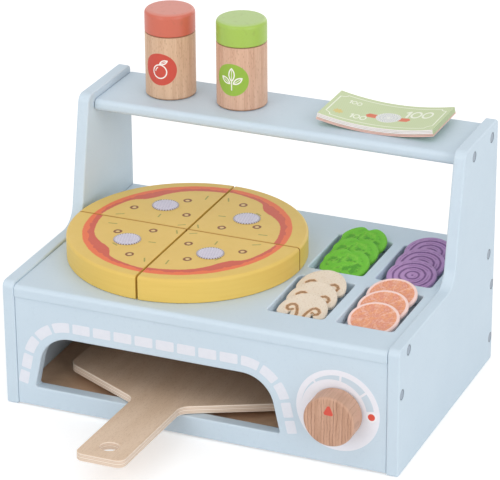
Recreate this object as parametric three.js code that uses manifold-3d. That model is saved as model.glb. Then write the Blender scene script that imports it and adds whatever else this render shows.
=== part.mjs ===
// Wooden play pizza oven with its peel, pizza, felt toppings, spice jars and play notes.
// Millimetres. x runs to the right along the front, y to the back, z up from the table.
// The casing is drawn with x 0 at its middle, y 0 at the side panels' front edge and z 0 on the table.
import * as THREE from 'three';
import { mergeVertices } from 'three/addons/utils/BufferGeometryUtils.js';
import Module from 'manifold-3d';

const wasm = await Module();
wasm.setup();

// Casing boards
const casingWidth = 300;
const casingDepth = 200;
const boardThickness = 9;
const boardEdgeRadius = 1.2;
const boardNoseRadius = 3.6;
const buttGap = 0.2;
const deckTop = 94.2;
const sideLedgeRise = 1.8;
const ledgeCornerRadius = 5;
const uprightFootDepth = 89.6;
const uprightHeadDepth = 71.3;
const uprightFillet = 16;
const uprightCornerRadius = 7;
const sideBackRadius = 4;
const footCornerRadius = 1.6;
const shelfGap = 82.6;
const shelfSetback = 7.3;
const sideHeadRise = 5.5;
const frontSetback = 1;
const boardLift = 1.2;

// Thin floor of the oven, held in grooves
const floorThickness = 4;
const floorTop = 9.5;
const floorInset = 2.6;
const grooveDepth = 3;
const grooveClearance = 0.3;

// Oven mouth in the front panel
const mouthSideMargin = 14;
const mouthKnobSideMargin = 79;
const mouthSill = 16;
const mouthLintel = 27.2;
const mouthHeadInset = 9.2;
const mouthFootRadius = 1.5;
const mouthHeadRadius = 24.5;

// Wells in the deck and the thin tray that closes them
const wellWidth = 42.3;
const wellRadius = 3;
const wellFront = 31;
const wellBackMargin = 29.5;
const wellRightMargin = 7.5;
const wellColumnGap = 9;
const wellRowGap = 13.5;
const trayThickness = 3;
const trayMargin = 3.6;

// Countersunk screws in the side panels
const screwHeadDiameter = 7.4;
const screwHeadRim = 0.5;
const screwHeadDepth = 2.4;
const screwShankDiameter = 3.6;
const screwLength = 30;
const screwTipLength = 4;
const screwSink = 0.2;
const screwClearance = 0.3;
const deckScrewFront = 17.6;
const deckScrewBack = 13.3;
const shelfScrewFront = 11.4;
const shelfScrewBack = 13.7;
const frontScrewHeight = 61.4;
const backScrewHigh = 62;
const backScrewLow = 18.7;

// Knob, the screw that it turns on, and its washers
const knobSideMargin = 36;
const knobHeight = 42;
const knobDiameter = 37.4;
const knobThickness = 16.6;
const knobFrontRadius = 2;
const knobBackRadius = 1;
const spindleDiameter = 6;
const spindleClearance = 0.4;
const spindleEngagement = 8;
const spindleHeadDiameter = 12;
const spindleHeadHeight = 3.5;
const spindleHeadRadius = 1.2;
const washerThickness = 0.9;
const frontWasherDiameter = 16;
const backWasherDiameter = 18;
const insertDiameter = 10;
const insertLength = 9;
const runningGap = 0.1;
const seatGap = 0.3;

// Peel, lying on the sill with its far end on the oven's floor
const peelOffset = 1.1;
const peelThickness = 6;
const peelOverhang = 104;
const peelBackGap = 13;
const peelEdgeRadius = 0.6;
const handleWidth = 36.5;
const handleCornerRadius = 6;
const shoulderStart = 94.4;
const shoulderEnd = 130;
const shoulderFillet = 10;
const bladeClearance = 9.5;
const bladeShoulderRadius = 10;
const bladeEndRadius = 20;
const hangingHoleDiameter = 13.5;
const hangingHoleInset = 17.8;

// Pizza in four quarters, with a hook-and-loop patch on each
const pizzaSideMargin = 3.5;
const pizzaWellMargin = 2.4;
const pizzaFront = 11;
const pizzaThickness = 18;
const pizzaTopRadius = 2.4;
const pizzaFootRadius = 0.8;
const pizzaCutX = 1.8;
const pizzaCutY = 0.7;
const patchDiameter = 20;
const patchThickness = 0.9;
const patchOffsetX = 32.5;
const patchOffsetY = 33;
const restGap = 0.2;

// Felt toppings, three shingled in each well
const toppingsPerWell = 3;
const toppingSideGap = 2.95;
const toppingThickness = 2.8;
const toppingEdgeRadius = 0.8;
const toppingRimReach = 8.4;
const toppingWallGap = 0.8;
const toppingGap = 0.3;
const mushroomDomeInset = 3.4;
const mushroomLobeRadius = 4.6;
const mushroomLobeDrop = 7;
const mushroomStemGap = 1.5;
const mushroomFootRadius = 2.5;
const pepperNotches = [
  { turn: 0.25, depth: 3.8 },
  { turn: 0.5, depth: 1.4 },
  { turn: 0.81, depth: 3.4 },
];
const pepperNotchSpread = 0.032;

// Spice jars
const jarDiameter = 37.3;
const jarBodyHeight = 48.5;
const jarFootRadius = 1.2;
const jarNeckRadius = 0.9;
const jarSpigotDiameter = 12;
const jarSpigotHeight = 6;
const lidHeight = 17;
const lidTopRadius = 3.4;
const redJarShare = 0.164;
const greenJarShare = 0.366;
const jarBackMargin = 28.4;

// Play notes, a curled stack
const noteCount = 5;
const noteLength = 90;
const noteWidth = 48;
const noteThickness = 0.8;
const noteSpacing = 0.25;
const noteSag = 5;
const notesShare = 0.761;
const noteBackMargin = 2;

// Cutters run this far past what they cut
const overrun = 2;

// Steps per rounded corner, per edge and per turn
const cornerSteps = 2;
const mouthCornerSteps = 3;
const edgeSteps = 2;
const feltEdgeSteps = 1;
const turnSteps = 28;
const smallTurnSteps = 20;
const screwTurnSteps = 10;
const pizzaTurnSteps = 64;
const toppingSteps = 28;
const pepperSteps = 52;
const domeSteps = 14;
const lobeSteps = 5;
const notchSteps = 2;
const noteSteps = 14;

// Places that follow from the sizes above
const halfInside = casingWidth / 2 - boardThickness;
const backPanelFront = casingDepth - boardThickness;
const frontPanelBack = frontSetback + boardThickness;
const deckUnderside = deckTop - boardThickness;
const ledgeHeight = deckTop + sideLedgeRise;
const uprightFoot = casingDepth - uprightFootDepth;
const uprightHead = casingDepth - uprightHeadDepth;
const shelfFront = uprightHead + shelfSetback;
const shelfTop = deckTop + shelfGap + boardThickness;
const sideHeight = shelfTop + sideHeadRise;
const mouthTop = deckUnderside - mouthLintel;
const mouthFootWidth = 2 * halfInside - mouthSideMargin - mouthKnobSideMargin;
const mouthHeadWidth = mouthFootWidth - 2 * mouthHeadInset;
const mouthCentre = mouthSideMargin + mouthFootWidth / 2 - halfInside;
const knobX = halfInside - knobSideMargin;
const peelX = mouthCentre + peelOffset;
const peelReach = backPanelFront - frontPanelBack - peelBackGap;
const peelLength = peelOverhang + peelReach;
const bladeWidth = mouthFootWidth - 2 * bladeClearance;
const wellColumnPitch = wellWidth + wellColumnGap;
const wellLength = (casingDepth - wellFront - wellRowGap - wellBackMargin) / 2;
const rightWellX = halfInside - wellRightMargin - wellWidth / 2;
const wellColumns = [rightWellX - wellColumnPitch, rightWellX];
const frontWellY = wellFront + wellLength / 2;
const wellRows = [frontWellY, frontWellY + wellLength + wellRowGap];
const trayTop = deckUnderside - buttGap;
const wellsLeft = wellColumns[0] - wellWidth / 2;
const pizzaDiameter = wellsLeft - pizzaWellMargin + halfInside - pizzaSideMargin;
const pizzaX = pizzaSideMargin + pizzaDiameter / 2 - halfInside;
const pizzaY = pizzaFront + pizzaDiameter / 2;
const toppingRadius = wellWidth / 2 - toppingSideGap;

const paint = { roughness: 0.55, metalness: 0 };
const materials = {
  panel: new THREE.MeshStandardMaterial({ color: 0xc7d8e5, ...paint }),
  hardboard: new THREE.MeshStandardMaterial({ color: 0xb98f6d, roughness: 0.8, metalness: 0 }),
  screw: new THREE.MeshStandardMaterial({ color: 0x6f747a, roughness: 0.4, metalness: 0.9 }),
  beech: new THREE.MeshStandardMaterial({ color: 0xd0a37f, roughness: 0.6, metalness: 0 }),
  brass: new THREE.MeshStandardMaterial({ color: 0xb79a55, roughness: 0.35, metalness: 1 }),
  nylon: new THREE.MeshStandardMaterial({ color: 0xe9e7e0, roughness: 0.5, metalness: 0 }),
  plywood: new THREE.MeshStandardMaterial({ color: 0xdcc0a4, roughness: 0.7, metalness: 0 }),
  pizza: new THREE.MeshStandardMaterial({ color: 0xdcb768, roughness: 0.6, metalness: 0 }),
  patch: new THREE.MeshStandardMaterial({ color: 0xd6d0e2, roughness: 0.9, metalness: 0 }),
  mushroom: new THREE.MeshStandardMaterial({ color: 0xe8dac8, roughness: 0.95, metalness: 0 }),
  pepper: new THREE.MeshStandardMaterial({ color: 0x64b93c, roughness: 0.95, metalness: 0 }),
  tomato: new THREE.MeshStandardMaterial({ color: 0xeb9b7d, roughness: 0.95, metalness: 0 }),
  onion: new THREE.MeshStandardMaterial({ color: 0xa578af, roughness: 0.95, metalness: 0 }),
  redLid: new THREE.MeshStandardMaterial({ color: 0xdc7058, ...paint }),
  greenLid: new THREE.MeshStandardMaterial({ color: 0xaacd5f, ...paint }),
  note: new THREE.MeshStandardMaterial({ color: 0xc8d4a5, roughness: 0.9, metalness: 0 }),
};

// A closed outline through corners [x, y, radius], given anticlockwise, each rounded by its radius.
function roundedOutline(corners, Outline = THREE.Shape) {
  const path = new Outline();
  corners.forEach(([x, y, radius], i) => {
    const [beforeX, beforeY] = corners.at(i - 1);
    const [afterX, afterY] = corners[(i + 1) % corners.length];
    const corner = new THREE.Vector2(x, y);
    const toBefore = new THREE.Vector2(beforeX, beforeY).sub(corner).normalize();
    const toAfter = new THREE.Vector2(afterX, afterY).sub(corner).normalize();
    if (radius === 0) {
      if (i === 0) path.moveTo(x, y);
      else path.lineTo(x, y);
      return;
    }
    const halfAngle = Math.acos(toBefore.dot(toAfter)) / 2;
    const run = radius / Math.tan(halfAngle);
    const start = corner.clone().addScaledVector(toBefore, run);
    const end = corner.clone().addScaledVector(toAfter, run);
    const inward = toBefore.clone().add(toAfter).normalize();
    const centre = corner.clone().addScaledVector(inward, radius / Math.sin(halfAngle));
    const clockwise = toBefore.cross(toAfter) > 0;
    const from = start.sub(centre).angle();
    const to = end.sub(centre).angle();
    path.absarc(centre.x, centre.y, radius, from, to, clockwise);
  });
  path.closePath();
  return path;
}

// A rectangle centred on x, y with equal corner radii.
function rectangle(x, y, width, length, radius, Outline = THREE.Shape) {
  const left = x - width / 2;
  const right = x + width / 2;
  const near = y - length / 2;
  const far = y + length / 2;
  const corners = [
    [left, near, radius],
    [right, near, radius],
    [right, far, radius],
    [left, far, radius],
  ];
  return roundedOutline(corners, Outline);
}

// A round hole in an outline, as four quarter arcs.
function roundHole(x, y, radius) {
  const hole = new THREE.Path();
  const quarter = Math.PI / 2;
  [0, 1, 2, 3].forEach((i) => {
    hole.absarc(x, y, radius, i * quarter, (i + 1) * quarter, false);
  });
  return hole;
}

// A plate of the given outline, from z 0 to its thickness, with rounded edges.
function plate(outline, thickness, edgeRadius, { corner = cornerSteps, edge = edgeSteps } = {}) {
  const geometry = new THREE.ExtrudeGeometry(outline, {
    depth: thickness - 2 * edgeRadius,
    curveSegments: corner,
    bevelEnabled: edgeRadius > 0,
    bevelThickness: edgeRadius,
    bevelSize: edgeRadius,
    bevelOffset: -edgeRadius,
    bevelSegments: edge,
  });
  geometry.translate(0, 0, edgeRadius);
  return geometry;
}

// A body turned about z from a profile of [radius, height] points.
function turned(profile, steps) {
  const points = profile.map(([radius, height]) => new THREE.Vector2(radius, height));
  const geometry = new THREE.LatheGeometry(points, steps);
  geometry.rotateX(Math.PI / 2);
  return geometry;
}

// Profile points of a quarter round between two directions, about a centre.
function quarterRound(centreRadius, centreHeight, radius, fromAngle, toAngle) {
  const points = [];
  for (let i = 0; i <= edgeSteps; i += 1) {
    const angle = fromAngle + ((toAngle - fromAngle) * i) / edgeSteps;
    points.push([centreRadius + radius * Math.cos(angle), centreHeight + radius * Math.sin(angle)]);
  }
  return points;
}

// A ring turned about z, its section a plain rectangle.
function ring(innerRadius, outerRadius, height, steps) {
  const profile = [
    [innerRadius, 0],
    [outerRadius, 0],
    [outerRadius, height],
    [innerRadius, height],
    [innerRadius, 0],
  ];
  return turned(profile, steps);
}

// A solid for joining and cutting, from closed geometry.
function solidOf(geometry) {
  const bare = geometry.clone();
  bare.deleteAttribute('normal');
  bare.deleteAttribute('uv');
  const welded = mergeVertices(bare);
  const body = new wasm.Manifold(new wasm.Mesh({
    numProp: 3,
    vertProperties: Float32Array.from(welded.attributes.position.array),
    triVerts: Uint32Array.from(welded.index.array),
  }));
  return body;
}

// Geometry from a solid.
function geometryOf(body) {
  const mesh = body.getMesh();
  const geometry = new THREE.BufferGeometry();
  geometry.setAttribute('position', new THREE.BufferAttribute(mesh.vertProperties, 3));
  geometry.setIndex(new THREE.BufferAttribute(mesh.triVerts, 1));
  return geometry;
}

// Change a mesh's solid by others that are given in its parent's coordinates.
function combine(mesh, tools, operation) {
  mesh.updateMatrix();
  const toLocal = mesh.matrix.clone().invert();
  const body = tools.reduce(
    (result, tool) => result[operation](solidOf(tool.clone().applyMatrix4(toLocal))),
    solidOf(mesh.geometry),
  );
  mesh.geometry = geometryOf(body);
}

// A box between two corners.
function boxBetween([x0, y0, z0], [x1, y1, z1]) {
  const geometry = new THREE.BoxGeometry(x1 - x0, y1 - y0, z1 - z0);
  geometry.translate((x0 + x1) / 2, (y0 + y1) / 2, (z0 + z1) / 2);
  return geometry;
}

// A named mesh in a group.
function add(group, name, geometry, material) {
  const mesh = new THREE.Mesh(geometry, material);
  mesh.name = name;
  group.add(mesh);
  return mesh;
}

// Boards that stand along y: outline in (y, z), thickness towards +x.
const sideFrame = new THREE.Matrix4().makeBasis(
  new THREE.Vector3(0, 1, 0),
  new THREE.Vector3(0, 0, 1),
  new THREE.Vector3(1, 0, 0),
);

// Boards that stand along x: outline in (x, z), thickness towards -y.
const uprightTurn = Math.PI / 2;

const oven = new THREE.Group();

// Side panels: low ledge in front, leaning upright behind
function sidePanel(name, x) {
  const outline = roundedOutline([
    [0, 0, footCornerRadius],
    [casingDepth, 0, footCornerRadius],
    [casingDepth, sideHeight, sideBackRadius],
    [uprightHead, sideHeight, uprightCornerRadius],
    [uprightFoot, ledgeHeight, uprightFillet],
    [0, ledgeHeight, ledgeCornerRadius],
  ]);
  const panel = add(oven, name, plate(outline, boardThickness, boardEdgeRadius), materials.panel);
  panel.quaternion.setFromRotationMatrix(sideFrame);
  panel.position.x = x;
  return panel;
}
const sidePanels = {
  left: sidePanel('side_panel_left', -casingWidth / 2),
  right: sidePanel('side_panel_right', halfInside),
};

// Level boards between the side panels, with a rounded front edge
function levelBoard(name, front, top, holes) {
  const back = casingDepth;
  const width = 2 * (halfInside - buttGap);
  const outline = rectangle(0, (front + back) / 2, width, back - front, 0);
  outline.holes.push(...holes);
  const board = add(oven, name, plate(outline, boardThickness, boardEdgeRadius), materials.panel);
  board.position.z = top - boardThickness;
  const section = roundedOutline([
    [front, top - boardThickness, boardNoseRadius],
    [back, top - boardThickness, boardEdgeRadius],
    [back, top, boardEdgeRadius],
    [front, top, boardNoseRadius],
  ]);
  const nose = plate(section, casingWidth, 0);
  nose.applyMatrix4(sideFrame);
  nose.translate(-casingWidth / 2, 0, 0);
  combine(board, [nose], 'intersect');
  return board;
}
const wells = wellColumns.flatMap((x) => wellRows.map((y) => ({ x, y })));
const wellHoles = wells.map(({ x, y }) => rectangle(x, y, wellWidth, wellLength, wellRadius, THREE.Path));
const deck = levelBoard('deck_board', 0, deckTop, wellHoles);
const shelf = levelBoard('shelf_board', shelfFront, shelfTop, []);

// Thin tray glued under the deck
const trayWidth = wellColumnPitch + wellWidth + 2 * trayMargin;
const trayLength = 2 * wellLength + wellRowGap + 2 * trayMargin;
const trayX = (wellColumns[0] + wellColumns[1]) / 2;
const trayY = (wellRows[0] + wellRows[1]) / 2;
const trayOutline = rectangle(trayX, trayY, trayWidth, trayLength, wellRadius);
const tray = add(oven, 'well_tray', plate(trayOutline, trayThickness, 0), materials.panel);
tray.position.z = trayTop - trayThickness;

// Front and back panels, under the deck
function uprightBoard(name, back, holes) {
  const top = deckUnderside - buttGap;
  const width = 2 * (halfInside - buttGap);
  const outline = rectangle(0, (boardLift + top) / 2, width, top - boardLift, 0);
  outline.holes.push(...holes);
  const geometry = plate(outline, boardThickness, boardEdgeRadius, { corner: mouthCornerSteps });
  const board = add(oven, name, geometry, materials.panel);
  board.rotation.x = uprightTurn;
  board.position.y = back;
  return board;
}
const mouth = roundedOutline([
  [mouthCentre - mouthFootWidth / 2, mouthSill, mouthFootRadius],
  [mouthCentre + mouthFootWidth / 2, mouthSill, mouthFootRadius],
  [mouthCentre + mouthHeadWidth / 2, mouthTop, mouthHeadRadius],
  [mouthCentre - mouthHeadWidth / 2, mouthTop, mouthHeadRadius],
], THREE.Path);
const frontPanel = uprightBoard('front_panel', frontPanelBack, [mouth]);
const backPanel = uprightBoard('back_panel', casingDepth, []);

// Oven floor, let into grooves on all four sides
const floorHalfWidth = halfInside + floorInset;
const floorFront = frontPanelBack - floorInset;
const floorBack = backPanelFront + floorInset;
const floorBottom = floorTop - floorThickness;
const floorOutline = rectangle(0, (floorFront + floorBack) / 2, 2 * floorHalfWidth, floorBack - floorFront, 0);
const floor = add(oven, 'floor_board', plate(floorOutline, floorThickness, 0), materials.hardboard);
floor.position.z = floorBottom;
const grooveRoom = boxBetween(
  [-halfInside - grooveDepth, frontPanelBack - grooveDepth, floorBottom - grooveClearance],
  [halfInside + grooveDepth, backPanelFront + grooveDepth, floorTop + grooveClearance],
);
[sidePanels.left, sidePanels.right, frontPanel, backPanel].forEach((board) => {
  combine(board, [grooveRoom], 'subtract');
});

// Countersunk screws: the head flush in the side panel, the shank in the board's end
function screwProfile(clearance, start) {
  const headRadius = screwHeadDiameter / 2 + clearance;
  const shankRadius = screwShankDiameter / 2 + clearance;
  const headEnd = screwSink + screwHeadRim + screwHeadDepth;
  return [
    [0, start],
    [headRadius, start],
    [headRadius, screwSink + screwHeadRim],
    [shankRadius, headEnd],
    [shankRadius, screwLength - screwTipLength + clearance],
    [0, screwLength + clearance],
  ];
}
const screwPlaces = [
  { board: shelf, y: shelfFront + shelfScrewFront, z: shelfTop - boardThickness / 2 },
  { board: shelf, y: casingDepth - shelfScrewBack, z: shelfTop - boardThickness / 2 },
  { board: deck, y: deckScrewFront, z: deckTop - boardThickness / 2 },
  { board: deck, y: casingDepth - deckScrewBack, z: deckTop - boardThickness / 2 },
  { board: frontPanel, y: frontPanelBack - boardThickness / 2, z: frontScrewHeight },
  { board: backPanel, y: casingDepth - boardThickness / 2, z: backScrewHigh },
  { board: backPanel, y: casingDepth - boardThickness / 2, z: backScrewLow },
];
const sides = [
  { side: 'left', x: -casingWidth / 2, turn: Math.PI / 2 },
  { side: 'right', x: casingWidth / 2, turn: -Math.PI / 2 },
];
sides.forEach(({ side, x, turn }) => {
  const holes = screwPlaces.map(({ board, y, z }, i) => {
    const geometry = turned(screwProfile(0, screwSink), screwTurnSteps);
    const screw = add(oven, `side_screw_${side}_${i + 1}`, geometry, materials.screw);
    screw.rotation.y = turn;
    screw.position.set(x, y, z);
    screw.updateMatrix();
    const hole = turned(screwProfile(screwClearance, -overrun), screwTurnSteps);
    hole.applyMatrix4(screw.matrix);
    return { board, hole };
  });
  combine(sidePanels[side], holes.map(({ hole }) => hole), 'subtract');
  holes.forEach(({ board, hole }) => combine(board, [hole], 'subtract'));
});

// Knob on its screw, in the front panel right of the mouth
const knob = new THREE.Group();
knob.position.set(knobX, 0, knobHeight);
knob.rotation.x = uprightTurn;
oven.add(knob);
const spindleRadius = spindleDiameter / 2;
const spindleBoreRadius = spindleRadius + spindleClearance;
const knobRadius = knobDiameter / 2;
const knobBack = -frontSetback + washerThickness + 2 * runningGap;
const knobBoreRadius = insertDiameter / 2 + runningGap;
const knobBoreDepth = insertLength + runningGap;
const knobProfile = [
  [0, knobBoreDepth],
  [knobBoreRadius, knobBoreDepth],
  [knobBoreRadius, 0],
  ...quarterRound(knobRadius - knobBackRadius, knobBackRadius, knobBackRadius, -Math.PI / 2, 0),
  ...quarterRound(knobRadius - knobFrontRadius, knobThickness - knobFrontRadius, knobFrontRadius, 0, Math.PI / 2),
  [0, knobThickness],
];
add(knob, 'knob', turned(knobProfile, turnSteps), materials.beech).position.z = knobBack;
const insertRing = ring(spindleBoreRadius, insertDiameter / 2, insertLength, smallTurnSteps);
add(knob, 'knob_insert', insertRing, materials.brass).position.z = knobBack;
const frontWasher = ring(spindleBoreRadius, frontWasherDiameter / 2, washerThickness, smallTurnSteps);
add(knob, 'knob_washer_front', frontWasher, materials.nylon).position.z = -frontSetback + runningGap;
const backWasher = ring(spindleBoreRadius, backWasherDiameter / 2, washerThickness, smallTurnSteps);
const backWasherFace = -frontPanelBack - runningGap - washerThickness;
add(knob, 'knob_washer_back', backWasher, materials.screw).position.z = backWasherFace;
const spindleHeadRadiusOuter = spindleHeadDiameter / 2;
const spindleStart = backWasherFace - runningGap - spindleHeadHeight;
const spindleEnd = knobBack + spindleEngagement;
const spindleProfile = [
  [0, 0],
  ...quarterRound(spindleHeadRadiusOuter - spindleHeadRadius, spindleHeadRadius, spindleHeadRadius, -Math.PI / 2, 0),
  [spindleHeadRadiusOuter, spindleHeadHeight],
  [spindleRadius, spindleHeadHeight],
  [spindleRadius, spindleEnd - spindleStart],
  [0, spindleEnd - spindleStart],
];
add(knob, 'knob_screw', turned(spindleProfile, smallTurnSteps), materials.screw).position.z = spindleStart;
const spindleHole = new THREE.CylinderGeometry(
  spindleBoreRadius,
  spindleBoreRadius,
  boardThickness + 2 * overrun,
  smallTurnSteps,
);
spindleHole.translate(knobX, frontPanelBack - boardThickness / 2, knobHeight);
combine(frontPanel, [spindleHole], 'subtract');

// Peel: tilted so that it lies on the sill's back edge and on the floor
const peelTilt = Math.asin((mouthSill - floorTop) / peelReach);
const peel = new THREE.Group();
peel.position.set(peelX, frontPanelBack, mouthSill + seatGap);
peel.rotation.x = -peelTilt;
oven.add(peel);
const peelOutline = roundedOutline([
  [-handleWidth / 2, 0, handleCornerRadius],
  [handleWidth / 2, 0, handleCornerRadius],
  [handleWidth / 2, shoulderStart, shoulderFillet],
  [bladeWidth / 2, shoulderEnd, bladeShoulderRadius],
  [bladeWidth / 2, peelLength, bladeEndRadius],
  [-bladeWidth / 2, peelLength, bladeEndRadius],
  [-bladeWidth / 2, shoulderEnd, bladeShoulderRadius],
  [-handleWidth / 2, shoulderStart, shoulderFillet],
]);
peelOutline.holes.push(roundHole(0, hangingHoleInset, hangingHoleDiameter / 2));
const peelPlate = plate(peelOutline, peelThickness, peelEdgeRadius);
add(peel, 'peel', peelPlate, materials.plywood).position.y = -peelOverhang;

// Pizza quarters: a rounded disc cut along x and y
const pizza = new THREE.Group();
pizza.position.set(pizzaX, pizzaY, deckTop + restGap);
oven.add(pizza);
const pizzaRadius = pizzaDiameter / 2;
const pizzaProfile = [
  [0, 0],
  ...quarterRound(pizzaRadius - pizzaFootRadius, pizzaFootRadius, pizzaFootRadius, -Math.PI / 2, 0),
  ...quarterRound(pizzaRadius - pizzaTopRadius, pizzaThickness - pizzaTopRadius, pizzaTopRadius, 0, Math.PI / 2),
  [0, pizzaThickness],
];
const pizzaDisc = solidOf(turned(pizzaProfile, pizzaTurnSteps));
const patchPlate = turned([
  [0, 0],
  [patchDiameter / 2, 0],
  [patchDiameter / 2, patchThickness],
  [0, patchThickness],
], smallTurnSteps);
const quarters = [
  { x: -1, y: -1 },
  { x: -1, y: 1 },
  { x: 1, y: 1 },
  { x: 1, y: -1 },
];
quarters.forEach(({ x, y }, i) => {
  const reach = pizzaRadius + overrun;
  const nearX = (x * pizzaCutX) / 2;
  const nearY = (y * pizzaCutY) / 2;
  const farX = x * reach;
  const farY = y * reach;
  const room = boxBetween(
    [Math.min(nearX, farX), Math.min(nearY, farY), -overrun],
    [Math.max(nearX, farX), Math.max(nearY, farY), pizzaThickness + overrun],
  );
  const slice = geometryOf(pizzaDisc.intersect(solidOf(room)));
  add(pizza, `pizza_slice_${i + 1}`, slice, materials.pizza);
  const patch = add(pizza, `topping_patch_${i + 1}`, patchPlate.clone(), materials.patch);
  patch.position.set(x * patchOffsetX, y * patchOffsetY, pizzaThickness + runningGap);
});

// Topping outline: a circle with a soft notch at each given share of its turn
function notchedOutline(notches, steps) {
  const points = [];
  for (let i = 0; i < steps; i += 1) {
    const turn = i / steps;
    const angle = 2 * Math.PI * turn;
    let radius = toppingRadius;
    notches.forEach((notch) => {
      const apart = (turn - notch.turn) / pepperNotchSpread;
      radius -= notch.depth * Math.exp(-(apart ** 2));
    });
    points.push(new THREE.Vector2(radius * Math.cos(angle), radius * Math.sin(angle)));
  }
  return new THREE.Shape(points);
}

// Mushroom slice: a domed cap, its two ends rolled in, and a broad stem
function mushroomOutline() {
  const lobeX = toppingRadius - mushroomLobeRadius;
  const stem = lobeX - mushroomLobeRadius - mushroomStemGap;
  const notchX = stem + mushroomStemGap / 2;
  const domeRise = toppingRadius - mushroomDomeInset + mushroomLobeDrop;
  const footHeight = -toppingRadius + mushroomFootRadius;
  const points = [];
  const arc = (x, y, radiusX, radiusY, from, to, steps) => {
    for (let i = 0; i <= steps; i += 1) {
      const angle = Math.PI * (from + ((to - from) * i) / steps);
      points.push(new THREE.Vector2(x + radiusX * Math.cos(angle), y + radiusY * Math.sin(angle)));
    }
  };
  const even = (x, y, radius, from, to, steps) => arc(x, y, radius, radius, from, to, steps);
  even(stem - mushroomFootRadius, footHeight, mushroomFootRadius, -1 / 2, 0, notchSteps);
  even(notchX, -mushroomLobeDrop, mushroomStemGap / 2, 1, 0, notchSteps);
  even(lobeX, -mushroomLobeDrop, mushroomLobeRadius, 1, 2, lobeSteps);
  points.pop();
  arc(0, -mushroomLobeDrop, toppingRadius, domeRise, 0, 1, domeSteps);
  points.pop();
  even(-lobeX, -mushroomLobeDrop, mushroomLobeRadius, 1, 2, lobeSteps);
  points.pop();
  even(-notchX, -mushroomLobeDrop, mushroomStemGap / 2, 1, 0, notchSteps);
  even(mushroomFootRadius - stem, footHeight, mushroomFootRadius, 1, 3 / 2, notchSteps);
  return new THREE.Shape(points);
}

// The lean at which the shingled slices clear each other, the well's floor and its back rim
function leanFor() {
  const halfThickness = toppingThickness / 2;
  let low = 0;
  let high = Math.PI / 3;
  const heights = (lean) => {
    const inset = toppingWallGap + toppingRadius * Math.cos(lean) + halfThickness * Math.sin(lean);
    const first = trayTop + toppingGap + toppingRadius * Math.sin(lean) + halfThickness * Math.cos(lean);
    const rest = deckTop + toppingGap + halfThickness / Math.cos(lean);
    const last = rest - toppingRimReach * Math.tan(lean);
    const pitch = (wellLength - inset - toppingRimReach) / (toppingsPerWell - 1);
    const rise = (last - first) / (toppingsPerWell - 1);
    const spacing = pitch * Math.sin(lean) - rise * Math.cos(lean);
    return { inset, first, pitch, rise, spacing };
  };
  const bisections = 40;
  for (let i = 0; i < bisections; i += 1) {
    const middle = (low + high) / 2;
    if (heights(middle).spacing > toppingThickness + toppingGap) high = middle;
    else low = middle;
  }
  return { lean: high, ...heights(high) };
}
const shingle = leanFor();
const toppings = [
  { name: 'mushroom', column: 0, row: 0, outline: mushroomOutline() },
  { name: 'pepper', column: 0, row: 1, outline: notchedOutline(pepperNotches, pepperSteps) },
  { name: 'tomato', column: 1, row: 0, outline: notchedOutline([], toppingSteps) },
  { name: 'onion', column: 1, row: 1, outline: notchedOutline([], toppingSteps) },
];
toppings.forEach(({ name, column, row, outline }) => {
  const stack = new THREE.Group();
  stack.position.set(wellColumns[column], wellRows[row] - wellLength / 2, 0);
  oven.add(stack);
  for (let i = 0; i < toppingsPerWell; i += 1) {
    const geometry = plate(outline, toppingThickness, toppingEdgeRadius, { edge: feltEdgeSteps });
    geometry.translate(0, 0, -toppingThickness / 2);
    const slice = add(stack, `${name}_${i + 1}`, geometry, materials[name]);
    slice.rotation.x = shingle.lean;
    slice.position.y = shingle.inset + i * shingle.pitch;
    slice.position.z = shingle.first + i * shingle.rise;
  }
});

// Spice jars: turned body with a spigot, and a painted lid on it
const jarRadius = jarDiameter / 2;
const jarSpigotRadius = jarSpigotDiameter / 2;
const socketRadius = jarSpigotRadius + seatGap;
const socketDepth = jarSpigotHeight + seatGap;
const jarBodyProfile = [
  [0, 0],
  ...quarterRound(jarRadius - jarFootRadius, jarFootRadius, jarFootRadius, -Math.PI / 2, 0),
  ...quarterRound(jarRadius - jarNeckRadius, jarBodyHeight - jarNeckRadius, jarNeckRadius, 0, Math.PI / 2),
  [jarSpigotRadius, jarBodyHeight],
  [jarSpigotRadius, jarBodyHeight + jarSpigotHeight],
  [0, jarBodyHeight + jarSpigotHeight],
];
const lidProfile = [
  [0, socketDepth],
  [socketRadius, socketDepth],
  [socketRadius, 0],
  ...quarterRound(jarRadius - jarNeckRadius, jarNeckRadius, jarNeckRadius, -Math.PI / 2, 0),
  ...quarterRound(jarRadius - lidTopRadius, lidHeight - lidTopRadius, lidTopRadius, 0, Math.PI / 2),
  [0, lidHeight],
];
function jar(name, x, lidMaterial) {
  const group = new THREE.Group();
  group.position.set(x, casingDepth - jarBackMargin, shelfTop + restGap);
  oven.add(group);
  add(group, `${name}_jar_body`, turned(jarBodyProfile, turnSteps), materials.beech);
  const lid = add(group, `${name}_jar_lid`, turned(lidProfile, turnSteps), lidMaterial);
  lid.position.z = jarBodyHeight + buttGap;
}
const shelfPlace = (share) => (2 * share - 1) * halfInside;
jar('red', shelfPlace(redJarShare), materials.redLid);
jar('green', shelfPlace(greenJarShare), materials.greenLid);

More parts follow.
